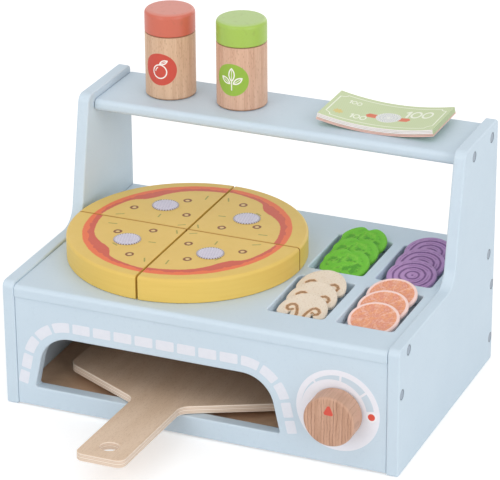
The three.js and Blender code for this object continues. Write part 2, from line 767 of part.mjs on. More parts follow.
// Play notes: strips bent about one axis, nested in each other
const noteBendRadius = (noteLength ** 2 / 4 + noteSag ** 2) / (2 * noteSag);
const notes = new THREE.Group();
notes.position.set(shelfPlace(notesShare), casingDepth - noteBackMargin, shelfTop + restGap);
notes.rotation.x = uprightTurn;
oven.add(notes);
for (let i = 0; i < noteCount; i += 1) {
  const outer = noteBendRadius - i * (noteThickness + noteSpacing);
  const inner = outer - noteThickness;
  const halfAngle = noteLength / 2 / noteBendRadius;
  const start = -Math.PI / 2 - halfAngle;
  const end = -Math.PI / 2 + halfAngle;
  const strip = new THREE.Shape();
  strip.absarc(0, noteBendRadius, outer, start, end, false);
  strip.absarc(0, noteBendRadius, inner, end, start, true);
  strip.closePath();
  const geometry = new THREE.ExtrudeGeometry(strip, {
    depth: noteWidth,
    bevelEnabled: false,
    curveSegments: noteSteps / 2,
  });
  add(notes, `banknote_${i + 1}`, geometry, materials.note);
}

// Origin at the middle of the footprint, on the table
const extent = new THREE.Box3().setFromObject(oven);
const middle = extent.getCenter(new THREE.Vector3());
oven.position.set(-middle.x, -middle.y, -extent.min.z);

const set = new THREE.Group();
set.add(oven);

export default set;
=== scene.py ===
"""Looks of a wooden play pizza oven with its peel, pizza, felt toppings, spice jars and play notes."""

import math
from functools import reduce

import bpy
import numpy as np
from mathutils import Matrix, Vector, geometry, noise


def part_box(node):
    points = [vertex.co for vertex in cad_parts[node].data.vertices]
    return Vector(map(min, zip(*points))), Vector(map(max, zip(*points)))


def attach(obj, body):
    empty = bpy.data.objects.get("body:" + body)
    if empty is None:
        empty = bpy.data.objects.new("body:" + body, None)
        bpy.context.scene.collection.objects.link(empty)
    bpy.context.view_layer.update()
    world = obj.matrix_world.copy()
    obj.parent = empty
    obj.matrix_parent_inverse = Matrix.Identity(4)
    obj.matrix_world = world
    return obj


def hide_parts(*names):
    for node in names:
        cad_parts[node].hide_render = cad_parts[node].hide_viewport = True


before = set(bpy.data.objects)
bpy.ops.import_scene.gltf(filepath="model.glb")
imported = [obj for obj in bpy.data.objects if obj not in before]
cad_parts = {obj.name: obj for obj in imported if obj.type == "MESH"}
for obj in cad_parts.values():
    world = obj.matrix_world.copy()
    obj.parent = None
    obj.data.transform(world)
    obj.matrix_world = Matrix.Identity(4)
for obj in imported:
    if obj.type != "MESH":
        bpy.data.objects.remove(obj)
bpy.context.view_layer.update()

MM = 0.001
TURN = 2 * math.pi


# Camera at the photograph's viewing angle

CAMERA_PLACE = (0.726632, -1.653626, 0.940803)
CAMERA_AZIMUTH = 22.203
CAMERA_ELEVATION = 24.098
CAMERA_SENSOR = 36
CAMERA_LENS = 203.687
CAMERA_SHIFT = (-0.0883, -0.0054)
CAMERA_RANGE = (0.05, 50)


def make_camera():
    data = bpy.data.cameras.new("camera")
    data.sensor_width = CAMERA_SENSOR
    data.lens = CAMERA_LENS
    data.shift_x, data.shift_y = CAMERA_SHIFT
    data.clip_start, data.clip_end = CAMERA_RANGE
    camera = bpy.data.objects.new("camera", data)
    bpy.context.scene.collection.objects.link(camera)
    camera.location = CAMERA_PLACE
    camera.rotation_euler = (math.radians(90 - CAMERA_ELEVATION), 0, math.radians(CAMERA_AZIMUTH))
    bpy.context.scene.camera = camera


make_camera()


# Outlines and profiles, as lists of (x, y) in millimetres

def rounded(corners, steps=6, closed=True):
    """A path through corners (x, y, radius), each rounded by its radius."""
    points = []
    count = len(corners)
    for i, (x, y, radius) in enumerate(corners):
        ends = not closed and i in (0, count - 1)
        if radius == 0 or ends:
            points.append((x, y))
            continue
        corner = Vector((x, y))
        to_before = (Vector(corners[i - 1][:2]) - corner).normalized()
        to_after = (Vector(corners[(i + 1) % count][:2]) - corner).normalized()
        half = math.acos(max(-1, min(1, to_before.dot(to_after)))) / 2
        start = corner + to_before * (radius / math.tan(half))
        centre = corner + (to_before + to_after).normalized() * (radius / math.sin(half))
        spoke = start - centre
        sweep = math.copysign(math.pi - 2 * half, to_before.y * to_after.x - to_before.x * to_after.y)
        for k in range(steps + 1):
            angle = sweep * k / steps
            turned_spoke = Matrix.Rotation(angle, 2) @ spoke
            points.append(tuple(centre + turned_spoke))
    return points


def rectangle(low, high, radius, steps=6):
    """A rectangle between two corners, all its corners rounded alike."""
    corners = [(low[0], low[1]), (high[0], low[1]), (high[0], high[1]), (low[0], high[1])]
    return rounded([(x, y, radius) for x, y in corners], steps)


def circle(x, y, radius, steps):
    angles = [TURN * i / steps for i in range(steps)]
    return [(x + radius * math.cos(angle), y + radius * math.sin(angle)) for angle in angles]


def offset(outline, amount):
    """An anticlockwise outline drawn in by amount, or out where amount is negative."""
    moved = []
    count = len(outline)
    for i in range(count):
        here = Vector(outline[i])
        before = (here - Vector(outline[i - 1])).normalized()
        after = (Vector(outline[(i + 1) % count]) - here).normalized()
        inward = Vector((-before.y - after.y, before.x + after.x))
        square = inward.length_squared / 4
        moved.append(tuple(here + inward / 2 * (amount / max(square, 0.25))))
    return moved


# Meshes, as (points, faces) in millimetres

CUT_OVERRUN = 2


def ring_faces(rings, count, start=0):
    """Faces between rings of equally many points, from the lowest ring up."""
    faces = []
    for level in range(rings - 1):
        low = start + level * count
        high = low + count
        for i in range(count):
            j = (i + 1) % count
            faces.append((low + i, low + j, high + j, high + i))
    return faces


def loft(rings, cap=True):
    """A skin over rings of equally many points, from the lowest ring up, closed at both ends."""
    count = len(rings[0])
    points = [point for ring in rings for point in ring]
    faces = ring_faces(len(rings), count)
    if cap:
        faces.append(tuple(reversed(range(count))))
        faces.append(tuple(range(len(points) - count, len(points))))
    return points, faces


def rims(bottom, top, edge, steps):
    """Pairs of height and inset for a wall between two heights whose rims are rounded by edge."""
    angles = [TURN / 4 * k / steps for k in range(steps + 1)]
    quarter = [(edge * (1 - math.sin(angle)), edge * (1 - math.cos(angle))) for angle in angles]
    lower = [(bottom + rise, inset) for inset, rise in quarter]
    return lower + [(top - drop, inset) for drop, inset in quarter]


def walls(outline, levels):
    """Rings of an outline, one for each pair of height and inset."""
    return [[(x, y, height) for x, y in offset(outline, inset)] for height, inset in levels]


def plate(outline, bottom, top, edge, steps=4):
    """A plate of that outline between two heights, its rims rounded."""
    return loft(walls(outline, rims(bottom, top, edge, steps)))


def flared(outline, bottom, top, edge, steps=4):
    """A cutter for a hole of that outline, flared at both faces, so that it leaves rounded rims."""
    flare = [(height, -inset) for height, inset in rims(bottom, top, edge, steps)]
    return loft(walls(outline, [(bottom - CUT_OVERRUN, -edge), *flare, (top + CUT_OVERRUN, -edge)]))


def turned(profile, steps):
    """A body turned about z from (radius, height) points that start and end on the axis."""
    inner = profile[1:-1]
    points = [(0, 0, profile[0][1])]
    for radius, height in inner:
        points += [(x, y, height) for x, y in circle(0, 0, radius, steps)]
    points.append((0, 0, profile[-1][1]))
    last = len(points) - 1
    after = [(i + 1) % steps for i in range(steps)]
    faces = [(0, 1 + j, 1 + i) for i, j in enumerate(after)]
    faces += ring_faces(len(inner), steps, 1)
    faces += [(last - steps + i, last - steps + j, last) for i, j in enumerate(after)]
    return points, faces


def joined(bodies):
    """Several bodies as one."""
    points = []
    faces = []
    for body_points, body_faces in bodies:
        start = len(points)
        points += body_points
        faces += [tuple(start + i for i in face) for face in body_faces]
    return points, faces


def moved(body, matrix):
    points, faces = body
    placed = [tuple(matrix @ Vector(point)) for point in points]
    if matrix.determinant() < 0:
        faces = [tuple(reversed(face)) for face in faces]
    return placed, faces


def extent(body):
    """The lowest and highest corner of a body."""
    points = np.array(body[0])
    return Vector(points.min(axis=0)), Vector(points.max(axis=0))


# Frames for boards that stand: outline (y, z) with thickness along x, and (x, z) with it along -y
ALONG_X = Matrix(((0, 0, 1, 0), (1, 0, 0, 0), (0, 1, 0, 0), (0, 0, 0, 1)))
ALONG_Y = Matrix(((1, 0, 0, 0), (0, 0, -1, 0), (0, 1, 0, 0), (0, 0, 0, 1)))


def make_object(name, body, place=None):
    """An object from a body in millimetres, its own frame at place, a matrix in millimetres."""
    points, faces = body
    mesh = bpy.data.meshes.new(name)
    mesh.from_pydata([tuple(c * MM for c in point) for point in points], [], faces)
    mesh.validate()
    mesh.update()
    shown = bpy.data.objects.new(name, mesh)
    bpy.context.scene.collection.objects.link(shown)
    if place is not None:
        metres = place.copy()
        metres.translation *= MM
        shown.matrix_world = metres
    return shown


def bake_modifiers(shown):
    """Puts the result of the object's modifiers into its mesh."""
    bpy.context.view_layer.update()
    graph = bpy.context.evaluated_depsgraph_get()
    mesh = bpy.data.meshes.new_from_object(shown.evaluated_get(graph), depsgraph=graph)
    shown.modifiers.clear()
    shown.data = mesh


def cut(shown, body, operation="DIFFERENCE"):
    """Cuts the object by a body in the same millimetre frame as its own mesh."""
    cutter = make_object("cutter", body)
    cutter.matrix_world = shown.matrix_world
    boolean = shown.modifiers.new("cut", "BOOLEAN")
    boolean.operation = operation
    boolean.solver = "EXACT"
    boolean.object = cutter
    bake_modifiers(shown)
    bpy.data.objects.remove(cutter)


def smooth(shown, angle):
    """Smooth shading inside faces that meet at less than angle, flats kept flat."""
    mesh = shown.data
    mesh.shade_smooth()
    mesh.set_sharp_from_angle(angle=math.radians(angle))
    weighted = shown.modifiers.new("normals", "WEIGHTED_NORMAL")
    weighted.keep_sharp = True
    bake_modifiers(shown)


def finish_piece(shown, material, body, nodes=(), angle=40):
    """Shading, finish and body of one piece, and the CAD nodes it stands for hidden."""
    smooth(shown, angle)
    shown.data.materials.clear()
    shown.data.materials.append(material)
    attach(shown, body)
    if nodes:
        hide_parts(*nodes)


# Shader nodes as sums

def srgb(red, green, blue):
    """A colour given as 0 to 255, as the linear colour that Blender takes."""
    channels = []
    for value in (red, green, blue):
        share = value / 255
        channels.append(share / 12.92 if share <= 0.04045 else ((share + 0.055) / 1.055) ** 2.4)
    return (*channels, 1)


def operator(operation, swapped=False):
    """An operator of Field that a node works out."""

    def work(self, *others):
        values = (self, *others)
        return self.shader.math(operation, *(reversed(values) if swapped else values))

    return work


class Field:
    """A number, vector or colour that shader nodes work out at each point."""

    def __init__(self, shader, socket):
        self.shader = shader
        self.socket = socket

    __add__ = __radd__ = operator("ADD")
    __mul__ = __rmul__ = operator("MULTIPLY")
    __sub__ = operator("SUBTRACT")
    __rsub__ = operator("SUBTRACT", swapped=True)
    __truediv__ = operator("DIVIDE")
    __abs__ = operator("ABSOLUTE")


class Shader:
    """A material built from nodes. Its coordinates are the piece's own, in millimetres."""

    def __init__(self, name):
        self.material = bpy.data.materials.new(name)
        self.material.use_nodes = True
        self.tree = self.material.node_tree
        self.surface = self.tree.nodes["Principled BSDF"]
        texture = self.tree.nodes.new("ShaderNodeTexCoord")
        scaled = self.node("ShaderNodeVectorMath", operation="SCALE")
        scaled.inputs["Scale"].default_value = 1 / MM
        self.tree.links.new(texture.outputs["Object"], scaled.inputs[0])
        self.point = Field(self, scaled.outputs[0])
        self.x, self.y, self.z = self.split(self.point)

    def node(self, kind, **settings):
        made = self.tree.nodes.new(kind)
        for key, value in settings.items():
            setattr(made, key, value)
        return made

    def feed(self, socket, value):
        if isinstance(value, Field):
            self.tree.links.new(value.socket, socket)
        else:
            socket.default_value = value

    def math(self, operation, *values):
        made = self.node("ShaderNodeMath", operation=operation)
        for socket, value in zip(made.inputs, values):
            self.feed(socket, value)
        return Field(self, made.outputs[0])

    def split(self, vector):
        made = self.node("ShaderNodeSeparateXYZ")
        self.feed(made.inputs[0], vector)
        return [Field(self, socket) for socket in made.outputs]

    def texture(self, kind, output, sizes, **inputs):
        """A texture whose cells have one size in millimetres, or one size for each axis."""
        if not hasattr(sizes, "__len__"):
            sizes = (sizes,) * 3
        scaled = self.node("ShaderNodeVectorMath", operation="DIVIDE")
        self.feed(scaled.inputs[0], self.point)
        self.feed(scaled.inputs[1], sizes)
        made = self.node(kind)
        self.feed(made.inputs["Vector"], Field(self, scaled.outputs[0]))
        for key, value in {"Scale": 1, **inputs}.items():
            self.feed(made.inputs[key], value)
        return Field(self, made.outputs[output])

    def noise(self, sizes, detail=2.0, roughness=0.5, distortion=0.0):
        """Cloudy noise from 0 to 1."""
        inputs = {"Detail": detail, "Roughness": roughness, "Distortion": distortion}
        return self.texture("ShaderNodeTexNoise", "Fac", sizes, **inputs)

    def cells(self, sizes):
        """Distance to the nearest of scattered points, as a share of their spacing."""
        return self.texture("ShaderNodeTexVoronoi", "Distance", sizes)

    def rise(self, value, low, high):
        """0 below low, 1 above high, smooth between."""
        made = self.node("ShaderNodeMapRange", interpolation_type="SMOOTHSTEP")
        self.feed(made.inputs["Value"], value)
        self.feed(made.inputs["From Min"], low)
        self.feed(made.inputs["From Max"], high)
        return Field(self, made.outputs["Result"])

    def below(self, value, edge, blur=0.15):
        """1 where value is less than edge."""
        return self.rise(edge - value, -blur, blur)

    def length(self, x, y):
        return self.math("SQRT", x * x + y * y)

    def turn(self, x, y):
        """The angle from the x axis to (x, y), in radians."""
        return self.math("ARCTAN2", y, x)

    def distance(self, x, y, centre):
        return self.length(x - centre[0], y - centre[1])

    def from_ray(self, degrees):
        """Distance to the ray from the middle at that angle, large behind the middle."""
        angle = math.radians(degrees)
        across = self.y * math.cos(angle) - self.x * math.sin(angle)
        ahead = self.x * math.cos(angle) + self.y * math.sin(angle)
        return abs(across) + self.below(ahead, 0) * 50

    def curve(self, value, points):
        """A smooth curve through (value, height) points; value runs from 0 to 1."""
        made = self.node("ShaderNodeFloatCurve")
        self.feed(made.inputs["Value"], value)
        stops = made.mapping.curves[0].points
        while len(stops) < len(points):
            stops.new(0.5, 0.5)
        for stop, place in zip(stops, points):
            stop.location = place
        made.mapping.update()
        return Field(self, made.outputs[0])

    def to_segment(self, x, y, start, end):
        """Distance to the straight stretch between two points."""
        run = (end[0] - start[0], end[1] - start[1])
        square = run[0] ** 2 + run[1] ** 2
        share = ((x - start[0]) * run[0] + (y - start[1]) * run[1]) / square
        share = self.least(self.most(share, 0.0), 1.0)
        return self.length(x - start[0] - share * run[0], y - start[1] - share * run[1])

    def most(self, *values):
        return reduce(lambda first, second: self.math("MAXIMUM", first, second), values)

    def least(self, *values):
        return reduce(lambda first, second: self.math("MINIMUM", first, second), values)

    def mix(self, share, *tones):
        """A colour between two tones that nodes work out or that are given as 0 to 255."""
        made = self.node("ShaderNodeMix", data_type="RGBA")
        self.feed(made.inputs[0], share)
        for socket, tone in zip(made.inputs[6:8], tones):
            self.feed(socket, tone if isinstance(tone, Field) else srgb(*tone))
        return Field(self, made.outputs[2])

    def normal_split(self):
        """The surface normal's three parts, in the world's directions."""
        made = self.node("ShaderNodeNewGeometry")
        return self.split(Field(self, made.outputs["Normal"]))

    def finished(self, tone, height=None, depth=0, **inputs):
        """The material in that tone, its bump depth millimetres proud where height is 1."""
        if height is not None:
            bump = self.node("ShaderNodeBump")
            bump.inputs["Strength"].default_value = 1
            bump.inputs["Distance"].default_value = depth * MM
            self.feed(bump.inputs["Height"], height)
            inputs["Normal"] = Field(self, bump.outputs["Normal"])
        for key, value in {"Base Color": tone, **inputs}.items():
            self.feed(self.surface.inputs[key.replace("_", " ")], value)
        return self.material


# Sizes that the frame gives, in millimetres

def box(node):
    low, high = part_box(node)
    return Vector(low) / MM, Vector(high) / MM


def middle(node):
    low, high = box(node)
    return (low + high) / 2


SIDE_LOW, SIDE_HIGH = box("side_panel_right")
DECK_LOW, DECK_HIGH = box("deck_board")
SHELF_LOW, SHELF_HIGH = box("shelf_board")
FRONT_LOW, FRONT_HIGH = box("front_panel")
BACK_LOW, BACK_HIGH = box("back_panel")
FLOOR_LOW, FLOOR_HIGH = box("floor_board")
TRAY_LOW, TRAY_HIGH = box("well_tray")
BOARD = SIDE_HIGH.x - SIDE_LOW.x
CASING_FRONT = SIDE_LOW.y
CASING_BACK = SIDE_HIGH.y
HALF_INSIDE = SIDE_LOW.x

# Casing shapes
EDGE = 1.2
NOSE = 3.6
BACK_CORNER = 1.25
DECK_FOOT = 0.6
SEAM_EDGE = 0.5
GROOVE_DEPTH = 3
GROOVE_CLEARANCE = 0.3
LEDGE_RISE = 1.8
LEDGE_TOP = DECK_HIGH.z + LEDGE_RISE
LEDGE_CORNER = 5
UPRIGHT_FOOT_DEPTH = 89.6
UPRIGHT_HEAD_DEPTH = 71.3
UPRIGHT_FILLET = 16
UPRIGHT_CORNER = 7
SIDE_BACK_CORNER = 4
FOOT_CORNER = 1.6

# Oven mouth
MOUTH_CENTRE = -32.5
MOUTH_SILL = 16
MOUTH_LINTEL = 27.2
MOUTH_TOP = DECK_LOW.z - MOUTH_LINTEL
MOUTH_FOOT_WIDTH = 189
MOUTH_LEAN = 9.2
MOUTH_HEAD_WIDTH = MOUTH_FOOT_WIDTH - 2 * MOUTH_LEAN
MOUTH_FOOT_RADIUS = 1.5
MOUTH_HEAD_RADIUS = 24.5

# Wells
WELL_SIZE = (42.3, 63)
WELL_RADIUS = 3
WELL_MARGIN = 3.6


def mouth_outline(grow=0.0, steps=12):
    """The mouth's outline, or one that runs outside it at a distance."""
    foot = MOUTH_FOOT_WIDTH / 2
    head = MOUTH_HEAD_WIDTH / 2
    corners = [
        (MOUTH_CENTRE - foot, MOUTH_SILL, MOUTH_FOOT_RADIUS),
        (MOUTH_CENTRE + foot, MOUTH_SILL, MOUTH_FOOT_RADIUS),
        (MOUTH_CENTRE + head, MOUTH_TOP, MOUTH_HEAD_RADIUS),
        (MOUTH_CENTRE - head, MOUTH_TOP, MOUTH_HEAD_RADIUS),
    ]
    return offset(rounded(corners, steps), -grow)


def block(low, high):
    return loft([[(x, y, z) for x, y in rectangle(low, high, 0)] for z in (low[2], high[2])])


# Finishes

BLUE_DEEP = (199, 216, 229)
BLUE_PALE = (206, 222, 234)
BARE_DARK = (150, 110, 78)
BARE_PALE = (174, 134, 100)


def bare_board(s, dark, pale):
    """The brown of pressed board: felted flecks and broad clouds."""
    flecks = s.noise((1.6, 1.6, 0.8), detail=4, roughness=0.7)
    tone = s.mix(flecks, dark, pale)
    return s.mix(s.rise(s.noise(22), 0.4, 0.7) * 0.3, tone, (166, 124, 92))


def blue_paint(name, bare_below=False):
    """Pale blue paint on fibreboard: faint clouds, a fine orange peel, rounded edges painted paler as a
    painted highlight.

    With bare_below, faces that look down behind the front panel are unpainted.
    """
    s = Shader(name)
    cloud = s.noise(34, detail=3)
    speck = s.noise(2.2)
    tone = s.mix(cloud, BLUE_DEEP, BLUE_PALE)
    tone = s.mix(s.rise(speck, 0.55, 0.8) * 0.3, tone, (190, 207, 221))
    nx, ny, nz = s.normal_split()
    facing = s.most(abs(nx), abs(ny), abs(nz))
    # Rounded faces are mixed paler: a painted highlight along the edges.
    tone = s.mix(s.below(facing, 0.97, 0.04) * 0.15, tone, (222, 233, 242))
    if bare_below:
        inside = s.below(nz, -0.8, 0.1) * s.rise(s.y, FRONT_HIGH.y - 0.4, FRONT_HIGH.y)
        tone = s.mix(inside, tone, bare_board(s, BARE_DARK, BARE_PALE))
    rough = 0.46 + s.noise(9) * 0.14
    bumps = s.noise(1.1, detail=1) + s.noise(5, detail=1) * 0.6
    return s.finished(tone, bumps, 0.035, Roughness=rough, Coat_Weight=0.03, Coat_Roughness=0.4)


PLY_STEP = 1.2


def plywood():
    """Birch plywood: fine short grain on the faces, pale plies with thin glue lines at the edge."""
    s = Shader("plywood")
    bands = s.noise((11, 70, 7), detail=3, distortion=0.6)
    fibres = s.noise((0.6, 7, 0.5), detail=4)
    flecks = s.cells((0.9, 3.2, 0.9))
    face = s.mix(s.rise(bands, 0.3, 0.75), (231, 204, 178), (223, 194, 166))
    face = s.mix(s.rise(fibres, 0.48, 0.72) * 0.3, face, (194, 156, 122))
    face = s.mix(s.below(flecks, 0.24, 0.1) * 0.3, face, (168, 128, 94))
    nx, ny, nz = s.normal_split()
    ply = s.math("FRACT", s.z / PLY_STEP + 0.5)
    glue = s.below(abs(ply - 0.5), 0.12, 0.06)
    turned_ply = s.rise(s.math("FRACT", s.z / (2 * PLY_STEP)), 0.48, 0.52)
    side = s.mix(turned_ply, (246, 230, 214), (236, 214, 194))
    side = s.mix(s.noise((1.2, 1.2, 0.3)) * 0.3, side, (214, 186, 158))
    side = s.mix(glue * 0.6, side, (176, 138, 108))
    tone = s.mix(s.below(abs(nz), 0.7, 0.12), face, side)
    bumps = fibres + s.rise(flecks, 0.1, 0.35) * 0.4
    return s.finished(tone, bumps, 0.025, Roughness=0.44 + fibres * 0.12)


def hardboard(name, dark, pale, painted=False):
    """Pressed brown board, bare or with its upper face painted blue."""
    s = Shader(name)
    tone = bare_board(s, dark, pale)
    if painted:
        nx, ny, nz = s.normal_split()
        paint = s.mix(s.noise(34, detail=3), BLUE_DEEP, BLUE_PALE)
        tone = s.mix(s.rise(nz, 0.4, 0.6), tone, paint)
    return s.finished(tone, s.noise((1.6, 1.6, 0.8), detail=4, roughness=0.7), 0.04, Roughness=0.6)


def metal(name, base, roughness, painted_shade=None):
    """Scratched metal, with a dark painted shade where the given function of the shader is 1."""
    s = Shader(name)
    scratches = s.noise((0.4, 0.4, 4), detail=3)
    tone = s.mix(scratches * 0.5, base, (70, 70, 72))
    if painted_shade:
        # Dark painted shade, mixed in where the shade function gives 1.
        tone = s.mix(painted_shade(s), tone, (40, 48, 60))
    rough = roughness - 0.08 + scratches * 0.2
    return s.finished(tone, scratches, 0.01, Metallic=1.0, Roughness=rough)


def nylon():
    s = Shader("nylon")
    tone = s.mix(s.noise(6), (236, 234, 226), (226, 223, 214))
    soft = {"Subsurface_Weight": 0.1, "Subsurface_Radius": (MM, MM, MM)}
    return s.finished(tone, s.noise(1.5), 0.02, Roughness=0.45, **soft)


def flat_print(name, first, second, size, roughness):
    """Printed colour with faint clouds of that size."""
    s = Shader(name)
    tone = s.mix(s.noise(size, detail=3), first, second)
    return s.finished(tone, s.noise(0.8), 0.01, Roughness=roughness)


BLUE = blue_paint("blue_paint")
DECK_BLUE = blue_paint("deck_paint", bare_below=True)
PLY = plywood()
HARDBOARD = hardboard("hardboard", (211, 174, 141), (235, 202, 170))
TRAY_BOARD = hardboard("tray_board", BARE_DARK, BARE_PALE, painted=True)
STEEL = metal("steel", (150, 156, 164), 0.4)
BRASS = metal("brass", (190, 160, 95), 0.3)
NYLON = nylon()


# Casing boards

def side_panel(name, x):
    corners = [
        (CASING_FRONT, SIDE_LOW.z, FOOT_CORNER),
        (CASING_BACK, SIDE_LOW.z, FOOT_CORNER),
        (CASING_BACK, SIDE_HIGH.z, SIDE_BACK_CORNER),
        (CASING_BACK - UPRIGHT_HEAD_DEPTH, SIDE_HIGH.z, UPRIGHT_CORNER),
        (CASING_BACK - UPRIGHT_FOOT_DEPTH, LEDGE_TOP, UPRIGHT_FILLET),
        (CASING_FRONT, LEDGE_TOP, LEDGE_CORNER),
    ]
    board = plate(rounded(corners, 8), x, x + BOARD, EDGE)
    return make_object(name, moved(board, ALONG_X))


def level_board(name, low, high, foot, edge):
    """A board that lies between the side panels, its front nose round above and of radius foot below."""
    corners = [
        (low.y, low.z, foot),
        (high.y, low.z, BACK_CORNER),
        (high.y, high.z, BACK_CORNER),
        (low.y, high.z, NOSE),
    ]
    board = plate(rounded(corners), low.x, high.x, edge)
    return make_object(name, moved(board, ALONG_X))


def upright_board(name, low, high, edge):
    board = plate(rectangle((low.x, low.z), (high.x, high.z), 0), -high.y, -low.y, edge)
    return make_object(name, moved(board, ALONG_Y))


casing_boards = {
    "side_panel_left": side_panel("side_panel_left_board", -HALF_INSIDE - BOARD),
    "side_panel_right": side_panel("side_panel_right_board", HALF_INSIDE),
    "deck_board": level_board("deck_board_painted", DECK_LOW, DECK_HIGH, DECK_FOOT, SEAM_EDGE),
    "shelf_board": level_board("shelf_board_painted", SHELF_LOW, SHELF_HIGH, NOSE, EDGE),
    "front_panel": upright_board("front_panel_board", FRONT_LOW, FRONT_HIGH, SEAM_EDGE),
    "back_panel": upright_board("back_panel_board", BACK_LOW, BACK_HIGH, EDGE),
}

# Wells through the deck, the mouth, and grooves for the oven floor
well_low = TRAY_LOW + Vector((WELL_MARGIN, WELL_MARGIN, 0))
well_high = TRAY_HIGH - Vector((WELL_MARGIN, WELL_MARGIN, 0))
well_corners = [
    (x, y)
    for x in (well_low.x, well_high.x - WELL_SIZE[0])
    for y in (well_low.y, well_high.y - WELL_SIZE[1])
]
for well_x, well_y in well_corners:
    hole = rectangle((well_x, well_y), (well_x + WELL_SIZE[0], well_y + WELL_SIZE[1]), WELL_RADIUS)
    cut(casing_boards["deck_board"], flared(hole, DECK_LOW.z, DECK_HIGH.z, EDGE))
mouth_cutter = flared(mouth_outline(), -FRONT_HIGH.y, -FRONT_LOW.y, EDGE)
cut(casing_boards["front_panel"], moved(mouth_cutter, ALONG_Y))
groove_low = (-HALF_INSIDE - GROOVE_DEPTH, FRONT_HIGH.y - GROOVE_DEPTH, FLOOR_LOW.z - GROOVE_CLEARANCE)
groove_high = (HALF_INSIDE + GROOVE_DEPTH, BACK_LOW.y + GROOVE_DEPTH, FLOOR_HIGH.z + GROOVE_CLEARANCE)
for grooved in ("side_panel_left", "side_panel_right", "front_panel", "back_panel"):
    cut(casing_boards[grooved], block(groove_low, groove_high))

# Countersunk screws
SCREW_HEAD = 7.4
SCREW_RIM = 0.5
SCREW_CONE = 2.4
SCREW_SHANK = 3.6
SCREW_LENGTH = 30
SCREW_TIP = 4
SCREW_SINK = 0.2
SCREW_CLEARANCE = 0.3
SCREW_STEPS = 32
RECESS_DEPTH = 1.9
RECESS_WIDTH = 1.5
RECESS_REACH = 5.4
RECESS_FLOOR = 1.8
RECESS_OVERRUN = 1
SCREW_BOARDS = {
    1: "shelf_board",
    2: "shelf_board",
    3: "deck_board",
    4: "deck_board",
    5: "front_panel",
    6: "back_panel",
    7: "back_panel",
}


def screw_body(clearance, start):
    head = SCREW_HEAD / 2 + clearance
    shank = SCREW_SHANK / 2 + clearance
    profile = [
        (0, start),
        (head, start),
        (head, SCREW_SINK + SCREW_RIM),
        (shank, SCREW_SINK + SCREW_RIM + SCREW_CONE),
        (shank, SCREW_LENGTH - SCREW_TIP + clearance),
        (0, SCREW_LENGTH + clearance),
    ]
    return turned(profile, SCREW_STEPS)


def screw_recess_shade(s):
    """Painted shade in the drive recess and round the rim of the head."""
    recess = s.rise(s.z, SCREW_SINK + 0.05, SCREW_SINK + 0.3)
    rim = s.rise(s.length(s.x, s.y), SCREW_HEAD / 2 - 0.8, SCREW_HEAD / 2 - 0.4)
    return s.most(recess, rim * 0.5)


def cross_recess():
    """The drive recess of a screw head: two crossed slots that taper to the middle."""
    reach = RECESS_REACH / 2
    floor = RECESS_FLOOR / 2
    section = [
        (-reach, SCREW_SINK - RECESS_OVERRUN),
        (-reach, SCREW_SINK),
        (-floor, SCREW_SINK + RECESS_DEPTH),
        (floor, SCREW_SINK + RECESS_DEPTH),
        (reach, SCREW_SINK),
        (reach, SCREW_SINK - RECESS_OVERRUN),
    ]
    slot = loft([[(x, y, z) for x, z in section] for y in (RECESS_WIDTH / 2, -RECESS_WIDTH / 2)])
    return [moved(slot, Matrix.Rotation(turn, 4, "Z")) for turn in (0, TURN / 4)]


SCREW_STEEL = metal("screw_steel", (166, 180, 196), 0.34, screw_recess_shade)
for side, sign in (("left", -1), ("right", 1)):
    turn = Matrix.Rotation(-sign * TURN / 4, 4, "Y")
    holes = {}
    for number, board in SCREW_BOARDS.items():
        node = f"side_screw_{side}_{number}"
        centre = middle(node)
        place = Matrix.Translation((sign * (HALF_INSIDE + BOARD), centre.y, centre.z)) @ turn
        hole = moved(screw_body(SCREW_CLEARANCE, -CUT_OVERRUN), place)
        holes.setdefault(board, []).append(hole)
        screw = make_object(f"{node}_steel", screw_body(0, SCREW_SINK), place)
        for arm in cross_recess():
            cut(screw, arm)
        finish_piece(screw, SCREW_STEEL, "casing", [node])
    for board, cutters in holes.items():
        cut(casing_boards[board], joined(cutters))
    cut(casing_boards[f"side_panel_{side}"], joined([hole for group in holes.values() for hole in group]))

for node, board in casing_boards.items():
    paint = DECK_BLUE if node == "deck_board" else BLUE
    finish_piece(board, paint, "casing", [node], angle=30)

# CAD nodes that stay as they are
for node, material in (
    ("well_tray", TRAY_BOARD),
    ("floor_board", HARDBOARD),
    ("knob_washer_front", NYLON),
    ("knob_washer_back", STEEL),
    ("knob_insert", BRASS),
    ("knob_screw", STEEL),
):
    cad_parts[node].data.materials.clear()
    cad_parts[node].data.materials.append(material)


# Painted bricks round the mouth

PRINT_THICKNESS = 0.1
PRINT_EDGE = 0.03
BRICK_HEIGHT = 7.5
BRICK_DISTANCE = 6
BRICK_PATH = BRICK_DISTANCE + BRICK_HEIGHT / 2
BRICK_LENGTH = 13.9
BRICK_SHORTER = 4
BRICK_EASE = 2.2
BRICK_COUNT = 18
BRICK_CORNER = 1.0
BRICK_FOOT = 18
BRICK_STEP = 1.5


def path_points(outline, keep):
    """The stretch of a closed outline whose points pass keep, in order."""
    count = len(outline)
    start = next(i for i in range(count) if keep(outline[i]) and not keep(outline[i - 1]))
    points = []
    for i in range(count):
        point = outline[(start + i) % count]
        if not keep(point):
            break
        points.append(point)
    return points


def along_path(points):
    """A function of distance that gives the place and direction on a polyline."""
    steps = [(Vector(b) - Vector(a)).length for a, b in zip(points, points[1:])]
    total = sum(steps)

    def at(run):
        left = run
        for i, step in enumerate(steps):
            if left <= step or i == len(steps) - 1:
                heading = (Vector(points[i + 1]) - Vector(points[i])).normalized()
                return Vector(points[i]) + heading * left, heading
            left -= step

    return at, total


